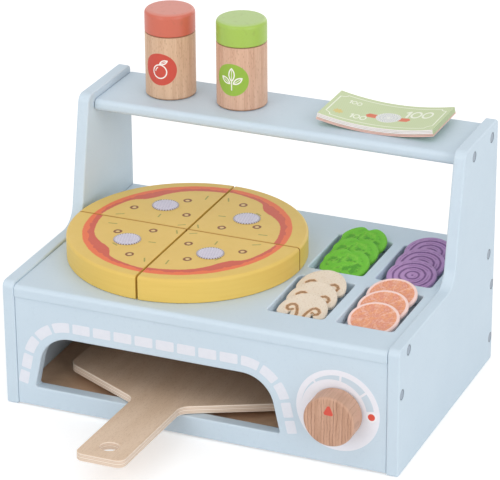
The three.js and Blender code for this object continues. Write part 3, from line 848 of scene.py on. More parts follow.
def brick_ring():
    """Bricks set along the mouth and bent with it, shorter towards its two feet."""
    path = mouth_outline(BRICK_PATH, steps=24)
    arch = path_points(path, lambda point: point[1] > MOUTH_TOP - 1.5 * MOUTH_HEAD_RADIUS)
    splay = (MOUTH_FOOT_WIDTH - MOUTH_HEAD_WIDTH) / 2 / (MOUTH_TOP - MOUTH_SILL)
    feet = []
    for x, z in (arch[0], arch[-1]):
        outward = math.copysign(splay, x - MOUTH_CENTRE)
        feet.append((x + outward * (z - BRICK_FOOT), BRICK_FOOT))
    at, total = along_path([feet[0]] + arch + [feet[1]])
    lengths = []
    for i in range(BRICK_COUNT):
        from_foot = min(i, BRICK_COUNT - 1 - i)
        lengths.append(BRICK_LENGTH - BRICK_SHORTER * math.exp(-from_foot / BRICK_EASE))
    gap = (total - sum(lengths)) / (BRICK_COUNT - 1)
    bricks = []
    start = 0
    for length in lengths:
        bricks.append(brick(at, start, length))
        start += length + gap
    return joined(bricks)


def brick(at, start, length):
    """A brick of that length, bent along the path from start on."""
    shape = rectangle((0, -BRICK_HEIGHT / 2), (length, BRICK_HEIGHT / 2), BRICK_CORNER)
    outline = []
    for (x0, y0), (x1, y1) in zip(shape, shape[1:] + shape[:1]):
        parts = max(1, round(math.hypot(x1 - x0, y1 - y0) / BRICK_STEP))
        for k in range(parts):
            place, heading = at(start + x0 + (x1 - x0) * k / parts)
            outward = Vector((heading.y, -heading.x))
            outline.append(tuple(place + outward * (y0 + (y1 - y0) * k / parts)))
    heights = (-FRONT_LOW.y, -FRONT_LOW.y + PRINT_THICKNESS)
    return moved(loft([[(x, z, y) for x, z in outline] for y in heights]), ALONG_Y)


WHITE_PRINT = flat_print("white_print", (233, 235, 243), (224, 228, 238), 3, 0.4)
finish_piece(make_object("mouth_bricks", brick_ring()), WHITE_PRINT, "casing", angle=30)


# Dial plate painted behind the knob

DIAL_CENTRE = (105.2, 42.7)
DIAL_RADIUS = 30.7
DIAL_STEPS = 96
DIAL_TICKS = (40, 86, 132)
DIAL_TICK_WIDTH = 1.6
DIAL_DOT = (24.6, -0.5)
DIAL_DOT_RADIUS = 2.6
DIAL_RING_RADIUS = 3.9
CRESCENT_RADIUS = 26.6
CRESCENT_WIDTH = 5.4
CRESCENT_WIDE_END = 20
CRESCENT_THIN_END = 178


def dial_paint():
    """White disc with a tapering blue crescent, white ticks and a red dot in a white ring."""
    s = Shader("dial_paint")
    white = s.mix(s.noise(3, detail=3), (240, 241, 248), (234, 236, 245))
    blue = s.mix(s.noise(20), BLUE_DEEP, BLUE_PALE)
    radius = s.length(s.x, s.y)
    angle = s.turn(s.x, s.y) * (360 / TURN)
    taper = s.rise(angle, CRESCENT_THIN_END, CRESCENT_WIDE_END)
    thickness = s.math("POWER", taper, 0.75) * CRESCENT_WIDTH
    outer = s.below(radius, CRESCENT_RADIUS)
    inner = s.rise(radius - (CRESCENT_RADIUS - thickness), -0.15, 0.15)
    crescent = outer * inner * s.rise(angle, 8.5, 9.5) * s.below(angle, CRESCENT_THIN_END - 2, 1)
    ticks = s.most(*[s.below(s.from_ray(degrees), DIAL_TICK_WIDTH / 2, 0.15) for degrees in DIAL_TICKS])
    tone = s.mix(crescent, white, blue)
    tone = s.mix(ticks * crescent, tone, white)
    dot = s.distance(s.x, s.y, DIAL_DOT)
    tone = s.mix(s.below(dot, DIAL_RING_RADIUS), tone, (246, 246, 250))
    tone = s.mix(s.below(dot, DIAL_DOT_RADIUS), tone, (224, 82, 62))
    return s.finished(tone, s.noise(0.8), 0.01, Roughness=0.42)


dial_place = Matrix.Translation((DIAL_CENTRE[0], FRONT_LOW.y, DIAL_CENTRE[1])) @ ALONG_Y
dial_body = plate(circle(0, 0, DIAL_RADIUS, DIAL_STEPS), 0, PRINT_THICKNESS, PRINT_EDGE, 1)
dial = make_object("dial_plate", dial_body, dial_place)
finish_piece(dial, dial_paint(), "casing", angle=30)


# Knob

KNOB_LOW, KNOB_HIGH = box("knob")
KNOB_RADIUS = (KNOB_HIGH.x - KNOB_LOW.x) / 2
KNOB_DEPTH = KNOB_HIGH.y - KNOB_LOW.y
KNOB_SOCKET = 5.1
KNOB_SOCKET_DEPTH = 9.1
KNOB_BACK_EDGE = 1
KNOB_FACE_EDGE = 2
KNOB_STEPS = 128
GRAIN_PITCH = 2.3
POINTER_CORNERS = ((-4.1, 5.5), (4.1, 5.3), (0.4, 14.3))
POINTER_CORNER = 1.3


def knob_wood():
    """Beech with thin dark upright grain lines; the side is painted paler, a painted highlight."""
    s = Shader("knob_beech")
    bands = s.noise((3.4, 60, 20), detail=3, distortion=0.3)
    waver = (s.noise((6, 9, 20)) - 0.5) * 2.2
    spread = s.noise((11, 60, 60), detail=1) * 3
    grain = s.math("SINE", (s.x + waver + spread) * (TURN / GRAIN_PITCH))
    side = s.rise(s.length(s.x, s.y), KNOB_RADIUS - 1.6, KNOB_RADIUS - 0.4)
    broken = s.rise(s.noise((1.6, 36, 20)), 0.36, 0.52)
    lines = s.rise(grain, 0.76, 0.98) * broken * (1 - side * 0.5)
    pores = s.below(s.cells((0.8, 3.2, 3.2)), 0.24, 0.1)
    tone = s.mix(s.rise(bands, 0.35, 0.68), (204, 161, 136), (186, 142, 116))
    tone = s.mix(lines * 0.8, tone, (132, 86, 62))
    tone = s.mix(pores * 0.35, tone, (160, 112, 84))
    # The side is mixed paler: a painted highlight.
    tone = s.mix(side * 0.4, tone, (208, 166, 142))
    return s.finished(tone, bands * 0.5 - lines - pores * 0.5, 0.05, Roughness=0.5)


knob_profile = rounded(
    [
        (KNOB_SOCKET, 0, 0),
        (KNOB_RADIUS, 0, KNOB_BACK_EDGE),
        (KNOB_RADIUS, KNOB_DEPTH, KNOB_FACE_EDGE),
        (0, KNOB_DEPTH, 0),
    ],
    closed=False,
)
knob_body = turned([(0, KNOB_SOCKET_DEPTH), (KNOB_SOCKET, KNOB_SOCKET_DEPTH)] + knob_profile, KNOB_STEPS)
knob_place = Matrix.Translation((middle("knob").x, KNOB_HIGH.y, middle("knob").z)) @ ALONG_Y
knob = make_object("knob_turned", knob_body, knob_place)
finish_piece(knob, knob_wood(), "knob", ["knob"])

pointer_outline = rounded([(x, y, POINTER_CORNER) for x, y in POINTER_CORNERS])
pointer_body = plate(pointer_outline, KNOB_DEPTH, KNOB_DEPTH + PRINT_THICKNESS, PRINT_EDGE, 1)
pointer = make_object("knob_pointer", pointer_body, knob_place)
RED_PRINT = flat_print("red_print", (219, 84, 66), (206, 70, 54), 2.5, 0.42)
finish_piece(pointer, RED_PRINT, "knob")


# Peel

PEEL_TILT = math.radians(2.2174)
PEEL_OVERHANG = 104
PEEL_INSIDE = 168
PEEL_LENGTH = PEEL_OVERHANG + PEEL_INSIDE
PEEL_THICKNESS = 6
PEEL_EDGE = 0.6
PEEL_EDGE_STEPS = 3
PEEL_HANDLE_WIDTH = 36.5
PEEL_HANDLE_CORNER = 6
PEEL_NECK = 94.4
PEEL_SHOULDER = 130
PEEL_SHOULDER_CORNER = 10
PEEL_FAR_CORNER = 20
PEEL_SIDE_ROOM = 9.5
PEEL_HOLE_PLACE = 17.8
PEEL_HOLE_WIDTH = 13.5
PEEL_HOLE_STEPS = 48
PEEL_ASIDE = 1.1
PEEL_LIFT = 0.3
PEEL_PIVOT_DEPTH = 10


def peel_body():
    handle = PEEL_HANDLE_WIDTH / 2
    blade = MOUTH_FOOT_WIDTH / 2 - PEEL_SIDE_ROOM
    half = [
        (handle, 0, PEEL_HANDLE_CORNER),
        (handle, PEEL_NECK, PEEL_SHOULDER_CORNER),
        (blade, PEEL_SHOULDER, PEEL_SHOULDER_CORNER),
        (blade, PEEL_LENGTH, PEEL_FAR_CORNER),
    ]
    corners = half + [(-x, y, radius) for x, y, radius in reversed(half)]
    return plate(rounded(corners, 10), 0, PEEL_THICKNESS, PEEL_EDGE, PEEL_EDGE_STEPS)


peel_pivot = Vector((MOUTH_CENTRE + PEEL_ASIDE, CASING_FRONT + PEEL_PIVOT_DEPTH, MOUTH_SILL + PEEL_LIFT))
peel_place = (
    Matrix.Translation(peel_pivot)
    @ Matrix.Rotation(-PEEL_TILT, 4, "X")
    @ Matrix.Translation((0, -PEEL_OVERHANG, 0))
)
peel = make_object("pizza_peel", peel_body(), peel_place)
hole = circle(0, PEEL_HOLE_PLACE, PEEL_HOLE_WIDTH / 2, PEEL_HOLE_STEPS)
cut(peel, flared(hole, 0, PEEL_THICKNESS, PEEL_EDGE, PEEL_EDGE_STEPS))
finish_piece(peel, PLY, "peel", ["peel"], angle=30)


# Pizza

PIZZA_LOW, PIZZA_HIGH = box("pizza_slice_1")
PIZZA_CENTRE = Vector((-50, 45.46, PIZZA_LOW.z))
PIZZA_RADIUS = 87.48
PIZZA_THICKNESS = PIZZA_HIGH.z - PIZZA_LOW.z
PIZZA_TOP_EDGE = 2.4
PIZZA_FOOT_EDGE = 0.8
PIZZA_STEPS = 192
SLICE_REACH = 3
SLICE_OVERRUN = 0.5
SLICE_HEADROOM = 0.002
SLICE_CORNER = 0.3
SLICE_EDGE = 0.2
SLICE_STEPS = 3

# The print of one quarter, from the pizza's middle; the cheese's edge as (share of the quarter, radius)
SAUCE_EDGE = 77.2
ROSE_EDGE = 72.9
CHEESE_NEAR = 60
CHEESE_FAR = 75
CHEESE_EDGE = (
    (0, 69),
    (0.15, 68.5),
    (0.3, 68),
    (0.45, 65.3),
    (0.55, 63.5),
    (0.7, 69.5),
    (0.87, 70.5),
    (1, 71.5),
)
RINGS = ((-46.2, -21.8), (-22.4, -11.4), (-20.7, -53.8))
RING_RADIUS = 2.4
STROKES = (
    ((-59, -10.8), (-53, -10.2)),
    ((-6.4, -5), (-3.9, -9.4)),
    ((-16.6, -30), (-11.8, -29.6)),
    ((-7.6, -56), (-5.2, -61)),
    ((-40.5, -41.2), (-36.2, -43.6)),
)
PRINT_DEEPER = 1.028


def cheese_edge(s, x, y):
    """The radius of the cheese's wavy edge at each angle."""
    share = s.turn(abs(y), abs(x)) / (TURN / 4)
    room = CHEESE_FAR - CHEESE_NEAR
    stops = [(1 - part, (radius - CHEESE_NEAR) / room) for part, radius in reversed(CHEESE_EDGE)]
    return s.curve(share, stops) * room + CHEESE_NEAR


def pizza_top(s, wider, deeper):
    """The printed face: crust, a wavy band of sauce, cheese, brown rings and green strokes."""
    x = s.x / wider
    y = s.y / deeper
    crust = s.mix(s.noise(12, detail=3), (233, 199, 110), (227, 191, 98))
    wobble = s.noise(8, detail=3) - 0.5
    fine = s.noise(2.2, detail=3) - 0.5
    radius = s.length(x, y)
    cheese = s.mix(s.noise(16, detail=3), (236, 200, 115), (228, 192, 104))
    cheese = s.mix(s.rise(s.noise(5, detail=4), 0.55, 0.75) * 0.3, cheese, (226, 186, 100))
    sauce = s.below(radius, SAUCE_EDGE + fine * 0.8 + wobble * 0.8, 0.25)
    rose = s.below(radius, ROSE_EDGE + wobble * 8 + fine * 1.2, 0.5)
    tone = s.mix(sauce, crust, (238, 118, 74))
    tone = s.mix(rose * 0.85, tone, (208, 94, 78))
    tone = s.mix(s.below(radius, cheese_edge(s, x, y) + fine * 1.2, 0.3), tone, cheese)
    for centre in RINGS:
        away = s.distance(x, y, centre) + fine * 1.0
        tone = s.mix(s.below(away, RING_RADIUS - 0.4, 0.4) * 0.45, tone, (238, 212, 168))
        tone = s.mix(s.below(abs(away - RING_RADIUS), 0.85, 0.3) * 0.95, tone, (130, 70, 36))
    strokes = s.least(*[s.to_segment(x, y, start, end) for start, end in STROKES])
    return s.mix(s.below(strokes + fine * 0.4, 0.55, 0.3) * 0.75, tone, (136, 140, 58))


def pizza_paint(name, wider, deeper):
    """A painted quarter with a print stretched along its own x and y, darkened along the cuts as painted
    shade of the gaps between quarters.
    """
    s = Shader(name)
    from_cut = s.least(abs(s.x), abs(s.y))
    # Brown along the cuts, on the face and the cut sides: painted shade of the narrow gaps between
    # quarters.
    face = s.mix(s.below(from_cut, 0.95, 0.3) * 0.7, pizza_top(s, wider, deeper), (192, 132, 34))
    side = s.mix(s.noise((30, 30, 2), detail=3), (233, 199, 104), (224, 188, 90))
    side = s.mix(s.below(from_cut, 0.62, 0.06), side, (150, 90, 20))
    tone = s.mix(s.rise(s.z, PIZZA_THICKNESS - 0.6, PIZZA_THICKNESS - 0.2), side, face)
    rough = 0.44 + s.noise(3) * 0.16
    bumps = s.noise(1.4) + s.noise(7) * 0.5
    return s.finished(tone, bumps, 0.04, Roughness=rough, Coat_Weight=0.05, Coat_Roughness=0.3)


pizza_profile = rounded(
    [
        (0, 0, 0),
        (PIZZA_RADIUS, 0, PIZZA_FOOT_EDGE),
        (PIZZA_RADIUS, PIZZA_THICKNESS, PIZZA_TOP_EDGE),
        (0, PIZZA_THICKNESS, 0),
    ],
    closed=False,
)
PIZZA_PAINTS = (
    pizza_paint("pizza_paint", 1 / PRINT_DEEPER, PRINT_DEEPER),
    pizza_paint("pizza_paint_turned", PRINT_DEEPER, 1 / PRINT_DEEPER),
)


def past_rim(corner):
    """A corner of a quarter's box: kept along the cuts, moved out past the round rim."""
    moves = [math.copysign(SLICE_REACH, side) if abs(side) > SLICE_REACH else 0 for side in corner]
    return [side + move for side, move in zip(corner, moves)]


def pizza_slice(number, quarter):
    """One quarter, its own frame turned so that all four share one print."""
    node = f"pizza_slice_{number}"
    low, high = [past_rim((corner - PIZZA_CENTRE).xy) for corner in box(node)]
    outline = rectangle(low, high, SLICE_CORNER, SLICE_STEPS)
    room = plate(outline, -SLICE_OVERRUN, PIZZA_THICKNESS - SLICE_HEADROOM, SLICE_EDGE, SLICE_STEPS)
    spin = Matrix.Rotation(-quarter * TURN / 4, 4, "Z")
    disc = moved(turned(pizza_profile, PIZZA_STEPS), spin.inverted())
    shown = make_object(f"{node}_printed", disc, Matrix.Translation(PIZZA_CENTRE) @ spin)
    cut(shown, moved(room, spin.inverted()), "INTERSECT")
    finish_piece(shown, PIZZA_PAINTS[quarter % 2], f"slice_{number}", [node], angle=30)


for quarter in range(4):
    pizza_slice(quarter + 1, quarter)


# Hook-and-loop discs on the quarters

PATCH_RADIUS = 10
PATCH_BASE = 0.45
PATCH_EDGE = 0.12
PATCH_STEPS = 72
HOOK_MARGIN = 1.4
HOOK_PITCH = 1.25
HOOK_HEIGHT = 0.4
HOOK_ROOT = 0.02
HOOK_PROFILE = ((0, 0), (0.34, 0), (0.3, 0.22), (0.36, 0.3), (0.2, HOOK_HEIGHT), (0, HOOK_HEIGHT))


def hook_disc():
    """A thin disc with rows of small rounded hooks."""
    bodies = [plate(circle(0, 0, PATCH_RADIUS, PATCH_STEPS), 0, PATCH_BASE, PATCH_EDGE, 2)]
    hook = turned(HOOK_PROFILE, 8)
    rows = int(PATCH_RADIUS / HOOK_PITCH)
    for row in range(-rows, rows + 1):
        for column in range(-rows, rows + 1):
            x = (column + (row % 2) / 2) * HOOK_PITCH
            y = row * HOOK_PITCH * math.sin(math.pi / 3)
            if math.hypot(x, y) < PATCH_RADIUS - HOOK_MARGIN:
                bodies.append(moved(hook, Matrix.Translation((x, y, PATCH_BASE - HOOK_ROOT))))
    return joined(bodies)


def patch_fabric():
    """White woven ground under the hooks, darker low down between them as painted shade, with a dotted
    brown rim where it was cut.
    """
    s = Shader("patch_fabric")
    radius = s.length(s.x, s.y)
    tone = s.mix(s.noise(3, detail=3), (240, 236, 244), (230, 225, 238))
    # Darker near the base between the hooks: painted shade.
    low = s.below(s.z, PATCH_BASE + 0.08, 0.05)
    tone = s.mix(low * 0.55, tone, (176, 170, 192))
    rim = s.rise(radius, PATCH_RADIUS - 1.1, PATCH_RADIUS - 0.8)
    dots = s.rise(s.math("SINE", s.turn(s.x, s.y) * 30), -0.3, 0.3)
    tone = s.mix(rim * dots * 0.85, tone, (96, 72, 52))
    return s.finished(tone, s.noise(0.5), 0.05, Roughness=0.75, Sheen_Weight=0.3)


PATCH = patch_fabric()
hook_disc_body = hook_disc()
for number in range(1, 5):
    node = f"topping_patch_{number}"
    low, high = box(node)
    centre = (low + high) / 2
    place = Matrix.Translation((centre.x, centre.y, low.z))
    shown = make_object(f"{node}_hooks", hook_disc_body, place)
    finish_piece(shown, PATCH, f"slice_{number}", [node], angle=50)


# Felt toppings

FELT_RADIUS = 18.2
FELT_THICKNESS = 2.8
FELT_EDGE = 0.8
FELT_EDGE_STEPS = 3
DISC_STEPS = 120
PEPPER_STEPS = 144
FELT_LEAN = math.radians(14.227)
FELT_PITCH = 1.2
FELT_UNEVEN = 0.22
FELT_LUMP = 6
PEPPER_NOTCHES = ((0.25, 3.8), (0.5, 1.4), (0.81, 3.4))
PEPPER_NOTCH_SPREAD = 0.032
ONION_RING = 4.7


def disc_outline():
    return circle(0, 0, FELT_RADIUS, DISC_STEPS)


def pepper_outline():
    """A round slice with soft notches, each at a share of the turn and so deep."""
    points = []
    for i in range(PEPPER_STEPS):
        turn = i / PEPPER_STEPS
        radius = FELT_RADIUS
        for at, depth in PEPPER_NOTCHES:
            radius -= depth * math.exp(-(((turn - at) / PEPPER_NOTCH_SPREAD) ** 2))
        points.append((radius * math.cos(TURN * turn), radius * math.sin(TURN * turn)))
    return points


def mushroom_outline(dome_inset=3.4, lobe=4.6, drop=7, gap=1.5, foot=2.5):
    """A mushroom slice: a domed cap, its two ends rolled in, and a broad stem."""
    lobe_x = FELT_RADIUS - lobe
    stem = lobe_x - lobe - gap
    rise = FELT_RADIUS - dome_inset + drop

    def arc(x, y, across, up, start, end, steps):
        angles = [math.pi * (start + (end - start) * i / steps) for i in range(steps)]
        return [(x + across * math.cos(a), y + up * math.sin(a)) for a in angles]

    return [
        *arc(stem - foot, foot - FELT_RADIUS, foot, foot, -1 / 2, 0, 8),
        (stem, foot - FELT_RADIUS),
        *arc(stem + gap / 2, -drop, gap / 2, gap / 2, 1, 0, 6),
        *arc(lobe_x, -drop, lobe, lobe, 1, 2, 18),
        *arc(0, -drop, FELT_RADIUS, rise, 0, 1, 60),
        *arc(-lobe_x, -drop, lobe, lobe, 1, 2, 18),
        *arc(-stem - gap / 2, -drop, gap / 2, gap / 2, 1, 0, 6),
        (-stem, -drop),
        *arc(foot - stem, foot - FELT_RADIUS, foot, foot, 1, 3 / 2, 8),
        (foot - stem, -FELT_RADIUS),
    ]


def felt_face(outline, seed, sunk):
    """The upper face inside an outline: points with a soft uneven height, and triangles."""
    border = np.array(outline)
    steps = np.arange(-FELT_RADIUS, FELT_RADIUS, FELT_PITCH)
    grid = [(x + (row % 2) * FELT_PITCH / 2, y) for row, y in enumerate(steps) for x in steps]
    inside = [point for point in grid if in_outline(point, outline)]
    inside = [point for point in inside if near(border, point) > FELT_PITCH * 0.6]
    flat = [Vector(point) for point in outline + inside]
    edges = [(i, (i + 1) % len(outline)) for i in range(len(outline))]
    placed, _, faces, _, _, _ = geometry.delaunay_2d_cdt(flat, edges, [], 1, 1e-5)
    points = []
    for x, y in placed:
        depth = near(border, (x, y))
        lumps = noise.noise(Vector((x / FELT_LUMP, y / FELT_LUMP, seed)))
        soft = lumps * FELT_UNEVEN * min(1, depth / 2)
        points.append((x, y, soft - sunk * min(1, max(0, depth - 1.2))))
    return points, faces


def near(border, point):
    """Distance from a point to the nearest of the border's points."""
    return float(np.hypot(border[:, 0] - point[0], border[:, 1] - point[1]).min())


def in_outline(point, outline):
    """Whether the point is inside the closed outline."""
    x, y = point
    inside = False
    for (x0, y0), (x1, y1) in zip(outline, outline[1:] + outline[:1]):
        if (y0 > y) != (y1 > y) and x < x0 + (y - y0) * (x1 - x0) / (y1 - y0):
            inside = not inside
    return inside


def felt_body(outline, seed, sunk):
    """A felt slice: cut edge with soft rims, level underside, softly uneven face."""
    half = FELT_THICKNESS / 2
    rings = walls(outline, rims(-half, half, FELT_EDGE, FELT_EDGE_STEPS))
    points, faces = loft(rings, cap=False)
    inner = [(x, y) for x, y, _ in rings[-1]]
    face_points, face_faces = felt_face(inner, seed, sunk)
    top = [(x, y, half + z) for x, y, z in face_points]
    base = [(x, y, -half) for x, y, _ in face_points]
    under = [tuple(reversed(face)) for face in face_faces]
    return joined([(points, faces), (top, face_faces), (base, under)])


def felt(name, tone_of, glint):
    """Felt: matted fibres, some in a paler tone, over a printed colour that tone_of works out."""
    s = Shader(name)
    fibres = s.noise(0.45, detail=4, roughness=0.7, distortion=1.2)
    strands = s.noise((2.4, 0.5, 0.5), detail=3, distortion=2.0)
    tone = tone_of(s)
    tone = s.mix(s.rise(fibres, 0.46, 0.72) * 0.5, tone, glint)
    tone = s.mix(s.rise(strands, 0.55, 0.8) * 0.15, tone, (90, 70, 60))
    bumps = fibres + strands * 0.7
    return s.finished(tone, bumps, 0.18, Roughness=0.9, Sheen_Weight=0.15, Sheen_Roughness=0.5)


CURL_MIDDLE = 0.4
CURL_TILT = 0.06
CURL = (
    (7.4, -5.4),
    (9.4, -6.8),
    (11.7, -5.7),
    (12.3, -3.2),
    (10.6, -0.8),
    (8.1, 0.1),
    (5.9, -1.3),
    (4.1, -4.9),
    (3.0, -8.6),
    (2.8, -12.2),
)


def mushroom_print(s):
    """Pale slice with fine specks and two mirrored brown curls that run down to the stem."""
    tone = s.mix(s.noise(6, detail=3), (240, 225, 205), (232, 214, 192))
    specks = s.below(s.cells(1.5), 0.24, 0.08)
    tone = s.mix(specks * 0.45, tone, (196, 160, 124))
    across = abs(s.x - CURL_MIDDLE) + (s.noise(2) - 0.5) * 0.5
    up = s.y + s.x * CURL_TILT
    stroke = s.least(*[s.to_segment(across, up, start, end) for start, end in zip(CURL, CURL[1:])])
    face = s.rise(s.z, FELT_THICKNESS / 2 - 0.4, FELT_THICKNESS / 2 - 0.2)
    tone = s.mix(s.below(stroke, 1.6, 0.4) * face * 0.5, tone, (240, 182, 116))
    return s.mix(s.below(stroke, 1.05, 0.3) * face * 0.95, tone, (156, 104, 42))


def pepper_print(s):
    """Green slice, lighter along the rim, with soft darker chambers."""
    tone = s.mix(s.noise(4, detail=3), (118, 208, 50), (98, 195, 42))
    patches = s.rise(s.noise(5.5, distortion=0.4), 0.5, 0.6)
    radius = s.length(s.x, s.y)
    inner = s.rise(radius, 14.5, 12.5)
    tone = s.mix(patches * inner * 0.75, tone, (62, 150, 32))
    veins = s.below(abs(s.noise(6.5) - 0.5), 0.03, 0.03)
    tone = s.mix(veins * inner * 0.35, tone, (166, 218, 84))
    return s.mix(s.rise(radius, 13.5, 16.5) * 0.3, tone, (136, 212, 72))


def tomato_print(s):
    """Orange-pink slice, mottled and streaked from the middle, with a pale rim."""
    tone = s.mix(s.rise(s.noise(3.6, detail=4), 0.35, 0.65), (240, 160, 112), (230, 146, 120))
    radius = s.length(s.x, s.y)
    angle = s.turn(s.x, s.y)
    waver = s.noise(3) * 5
    streaks = s.rise(s.math("SINE", angle * 7 + waver), 0.7, 0.98) * s.rise(radius, 2, 5)
    tone = s.mix(streaks * 0.35, tone, (252, 206, 182))
    pale = s.rise(s.noise((1.9, 1.6, 2), detail=3, distortion=0.8), 0.52, 0.66)
    tone = s.mix(pale * 0.5, tone, (252, 206, 184))
    deep = s.rise(s.noise((1.4, 1.7, 2), distortion=0.6), 0.56, 0.66)
    tone = s.mix(deep * 0.45, tone, (216, 116, 84))
    rim = s.rise(radius + (s.noise(3) - 0.5) * 0.8, 15.7, 16.3)
    return s.mix(rim, tone, (254, 220, 212))


def onion_print(s):
    """Lilac slice: broad light bands parted by thin dark rings."""
    tone = s.mix(s.noise(5, detail=3), (184, 140, 194), (168, 122, 182))
    radius = s.length(s.x - 0.6, s.y * 1.06) + (s.noise(7) - 0.5) * 1.6 + (s.noise(2.2) - 0.5) * 0.5
    share = s.math("FRACT", radius / ONION_RING)
    band = s.rise(abs(share - 0.5), 0.4, 0.1)
    tone = s.mix(band * 0.55, tone, (200, 160, 208))
    dark = s.rise(abs(share - 0.5), 0.3, 0.4)
    tone = s.mix(dark * 0.85, tone, (106, 64, 122))
    patchy = s.rise(s.noise((9, 9, 3), detail=1), 0.48, 0.56)
    thin = s.below(abs(share - 0.5), 0.09, 0.05) * patchy
    tone = s.mix(thin * 0.6, tone, (126, 82, 144))
    return s.mix(s.rise(s.length(s.x, s.y), 16.4, 17.2) * 0.9, tone, (188, 148, 198))


FELT_SEED_STEP = 3.7
FELTS = {
    "mushroom": (mushroom_outline, felt("mushroom_felt", mushroom_print, (254, 250, 244)), 0),
    "pepper": (pepper_outline, felt("pepper_felt", pepper_print, (158, 220, 86)), 0),
    "tomato": (disc_outline, felt("tomato_felt", tomato_print, (255, 224, 208)), 0.35),
    "onion": (disc_outline, felt("onion_felt", onion_print, (206, 178, 216)), 0),
}
for kind, (outline, material, sunk) in FELTS.items():
    for number in range(1, 4):
        node = f"{kind}_{number}"
        tilt = Matrix.Rotation(FELT_LEAN, 4, "X")
        body = felt_body(outline(), number * FELT_SEED_STEP, sunk)
        shape_low, shape_high = extent(moved(body, tilt))
        low, high = box(node)
        place = Matrix.Translation((low + high - shape_low - shape_high) / 2) @ tilt
        shown = make_object(f"{node}_felt", body, place)
        finish_piece(shown, material, node, [node], angle=70)


# Spice jars

JAR_RADIUS = 37.3 / 2
JAR_HEIGHT = 48.5
JAR_FOOT_EDGE = 1.2
JAR_HEAD_EDGE = 0.9
JAR_STEPS = 128
LID_HEIGHT = 17
LID_FOOT_EDGE = 0.9
LID_TOP_EDGE = 3.4
LID_CLEARANCE = 0.3
SPIGOT_RADIUS = 6
SPIGOT_HEIGHT = 6
SPIGOT_FOOT_EDGE = 0.3
SPIGOT_TOP_EDGE = 0.5
SOCKET_EDGE = 0.2
LABEL_RADIUS = 12.8
LABEL_HEIGHT = 23.8
LABEL_TALLER = 1.04
LABEL_TURN = math.radians(-0.5)


def jar_wood(name, pale, dark, label, motif):
    """Beech with fine upright grain and a round printed label on the side that faces -y."""
    s = Shader(name)
    bands = s.noise((4, 4, 70), detail=3, distortion=0.3)
    fibres = s.noise((0.55, 0.55, 20), detail=3)
    pores = s.cells((0.9, 0.9, 4.5))
    tone = s.mix(s.rise(bands, 0.35, 0.68), pale, dark)
    tone = s.mix(s.rise(fibres, 0.5, 0.72) * 0.4, tone, (178, 136, 106))
    tone = s.mix(s.below(pores, 0.22, 0.1) * 0.45, tone, (150, 106, 78))
    around = s.turn(s.y * -1, s.x) * JAR_RADIUS
    up = s.z - LABEL_HEIGHT
    # Darker at the foot and at the top under the lid: painted shade of the seam and of the contact below.
    rims = s.most(s.below(s.z, 1.2, 0.4), s.rise(s.z, JAR_HEIGHT - 0.7, JAR_HEIGHT - 0.2))
    tone = s.mix(rims * 0.55, tone, (140, 92, 64))
    disc = s.below(s.length(around, up * LABEL_TALLER), LABEL_RADIUS, 0.12)
    tone = s.mix(disc, tone, label)
    tone = s.mix(disc * motif(s, around, up), tone, (248, 243, 236))
    return s.finished(tone, bands + fibres * 0.6, 0.03, Roughness=0.46 + fibres * 0.12)


MOTIF_LINE = 0.45
FRUIT_CENTRE = (0, -1.6)
FRUIT_RADIUS = 5.2
GLINT_RADIUS = 3.4


def leaf(s, x, y, centre, length, width, degrees):
    """A pointed leaf as an outline, where two circles meet, with a line along its middle."""
    angle = math.radians(degrees)
    along = (x - centre[0]) * math.cos(angle) + (y - centre[1]) * math.sin(angle)
    across = (y - centre[1]) * math.cos(angle) - (x - centre[0]) * math.sin(angle)
    bow = (length * length - width * width) / (2 * width)
    reach = s.length(along, abs(across) + bow)
    rim = length * length / (2 * width) + width / 2
    outline = s.below(abs(reach - rim), MOTIF_LINE, 0.12)
    vein = s.below(abs(across), MOTIF_LINE / 2, 0.1) * s.below(abs(along), length * 0.8, 0.2)
    return s.most(outline, vein)


def red_motif(s, x, y):
    """A plain round fruit with a leaf on its stalk."""
    reach = s.distance(x, y, FRUIT_CENTRE)
    ball = s.below(abs(reach - FRUIT_RADIUS), MOTIF_LINE, 0.12)
    glint = s.below(abs(reach - GLINT_RADIUS), 0.35, 0.1) * s.below(x, -1.4) * s.rise(y, -1.8, -1.2)
    return s.most(ball, glint, leaf(s, x, y, (2.8, 5.6), 3.2, 1.3, 25))


def green_motif(s, x, y):
    """A sprig of three leaves."""
    stalk = s.below(abs(x), 0.4, 0.12) * s.below(abs(y + 4.6), 3.4, 0.2)
    middle_leaf = leaf(s, x, y, (0, 4), 4.8, 2.1, 90)
    sides = [leaf(s, x, y, (side * 4.6, -0.6), 3.9, 1.7, 90 - side * 55) for side in (-1, 1)]
    return s.most(stalk, middle_leaf, *sides)


def lid_paint(name, side, top):
    s = Shader(name)
    # The top is mixed paler than the side: a painted highlight from the light above.
    tone = s.mix(s.rise(s.z, LID_HEIGHT - 1.4, LID_HEIGHT - 0.4) * 0.65, side, top)
    tone = s.mix(s.rise(s.noise(4, detail=3), 0.55, 0.8) * 0.15, tone, (120, 90, 60))
    return s.finished(tone, s.noise(1.2), 0.03, Roughness=0.4, Coat_Weight=0.15, Coat_Roughness=0.25)


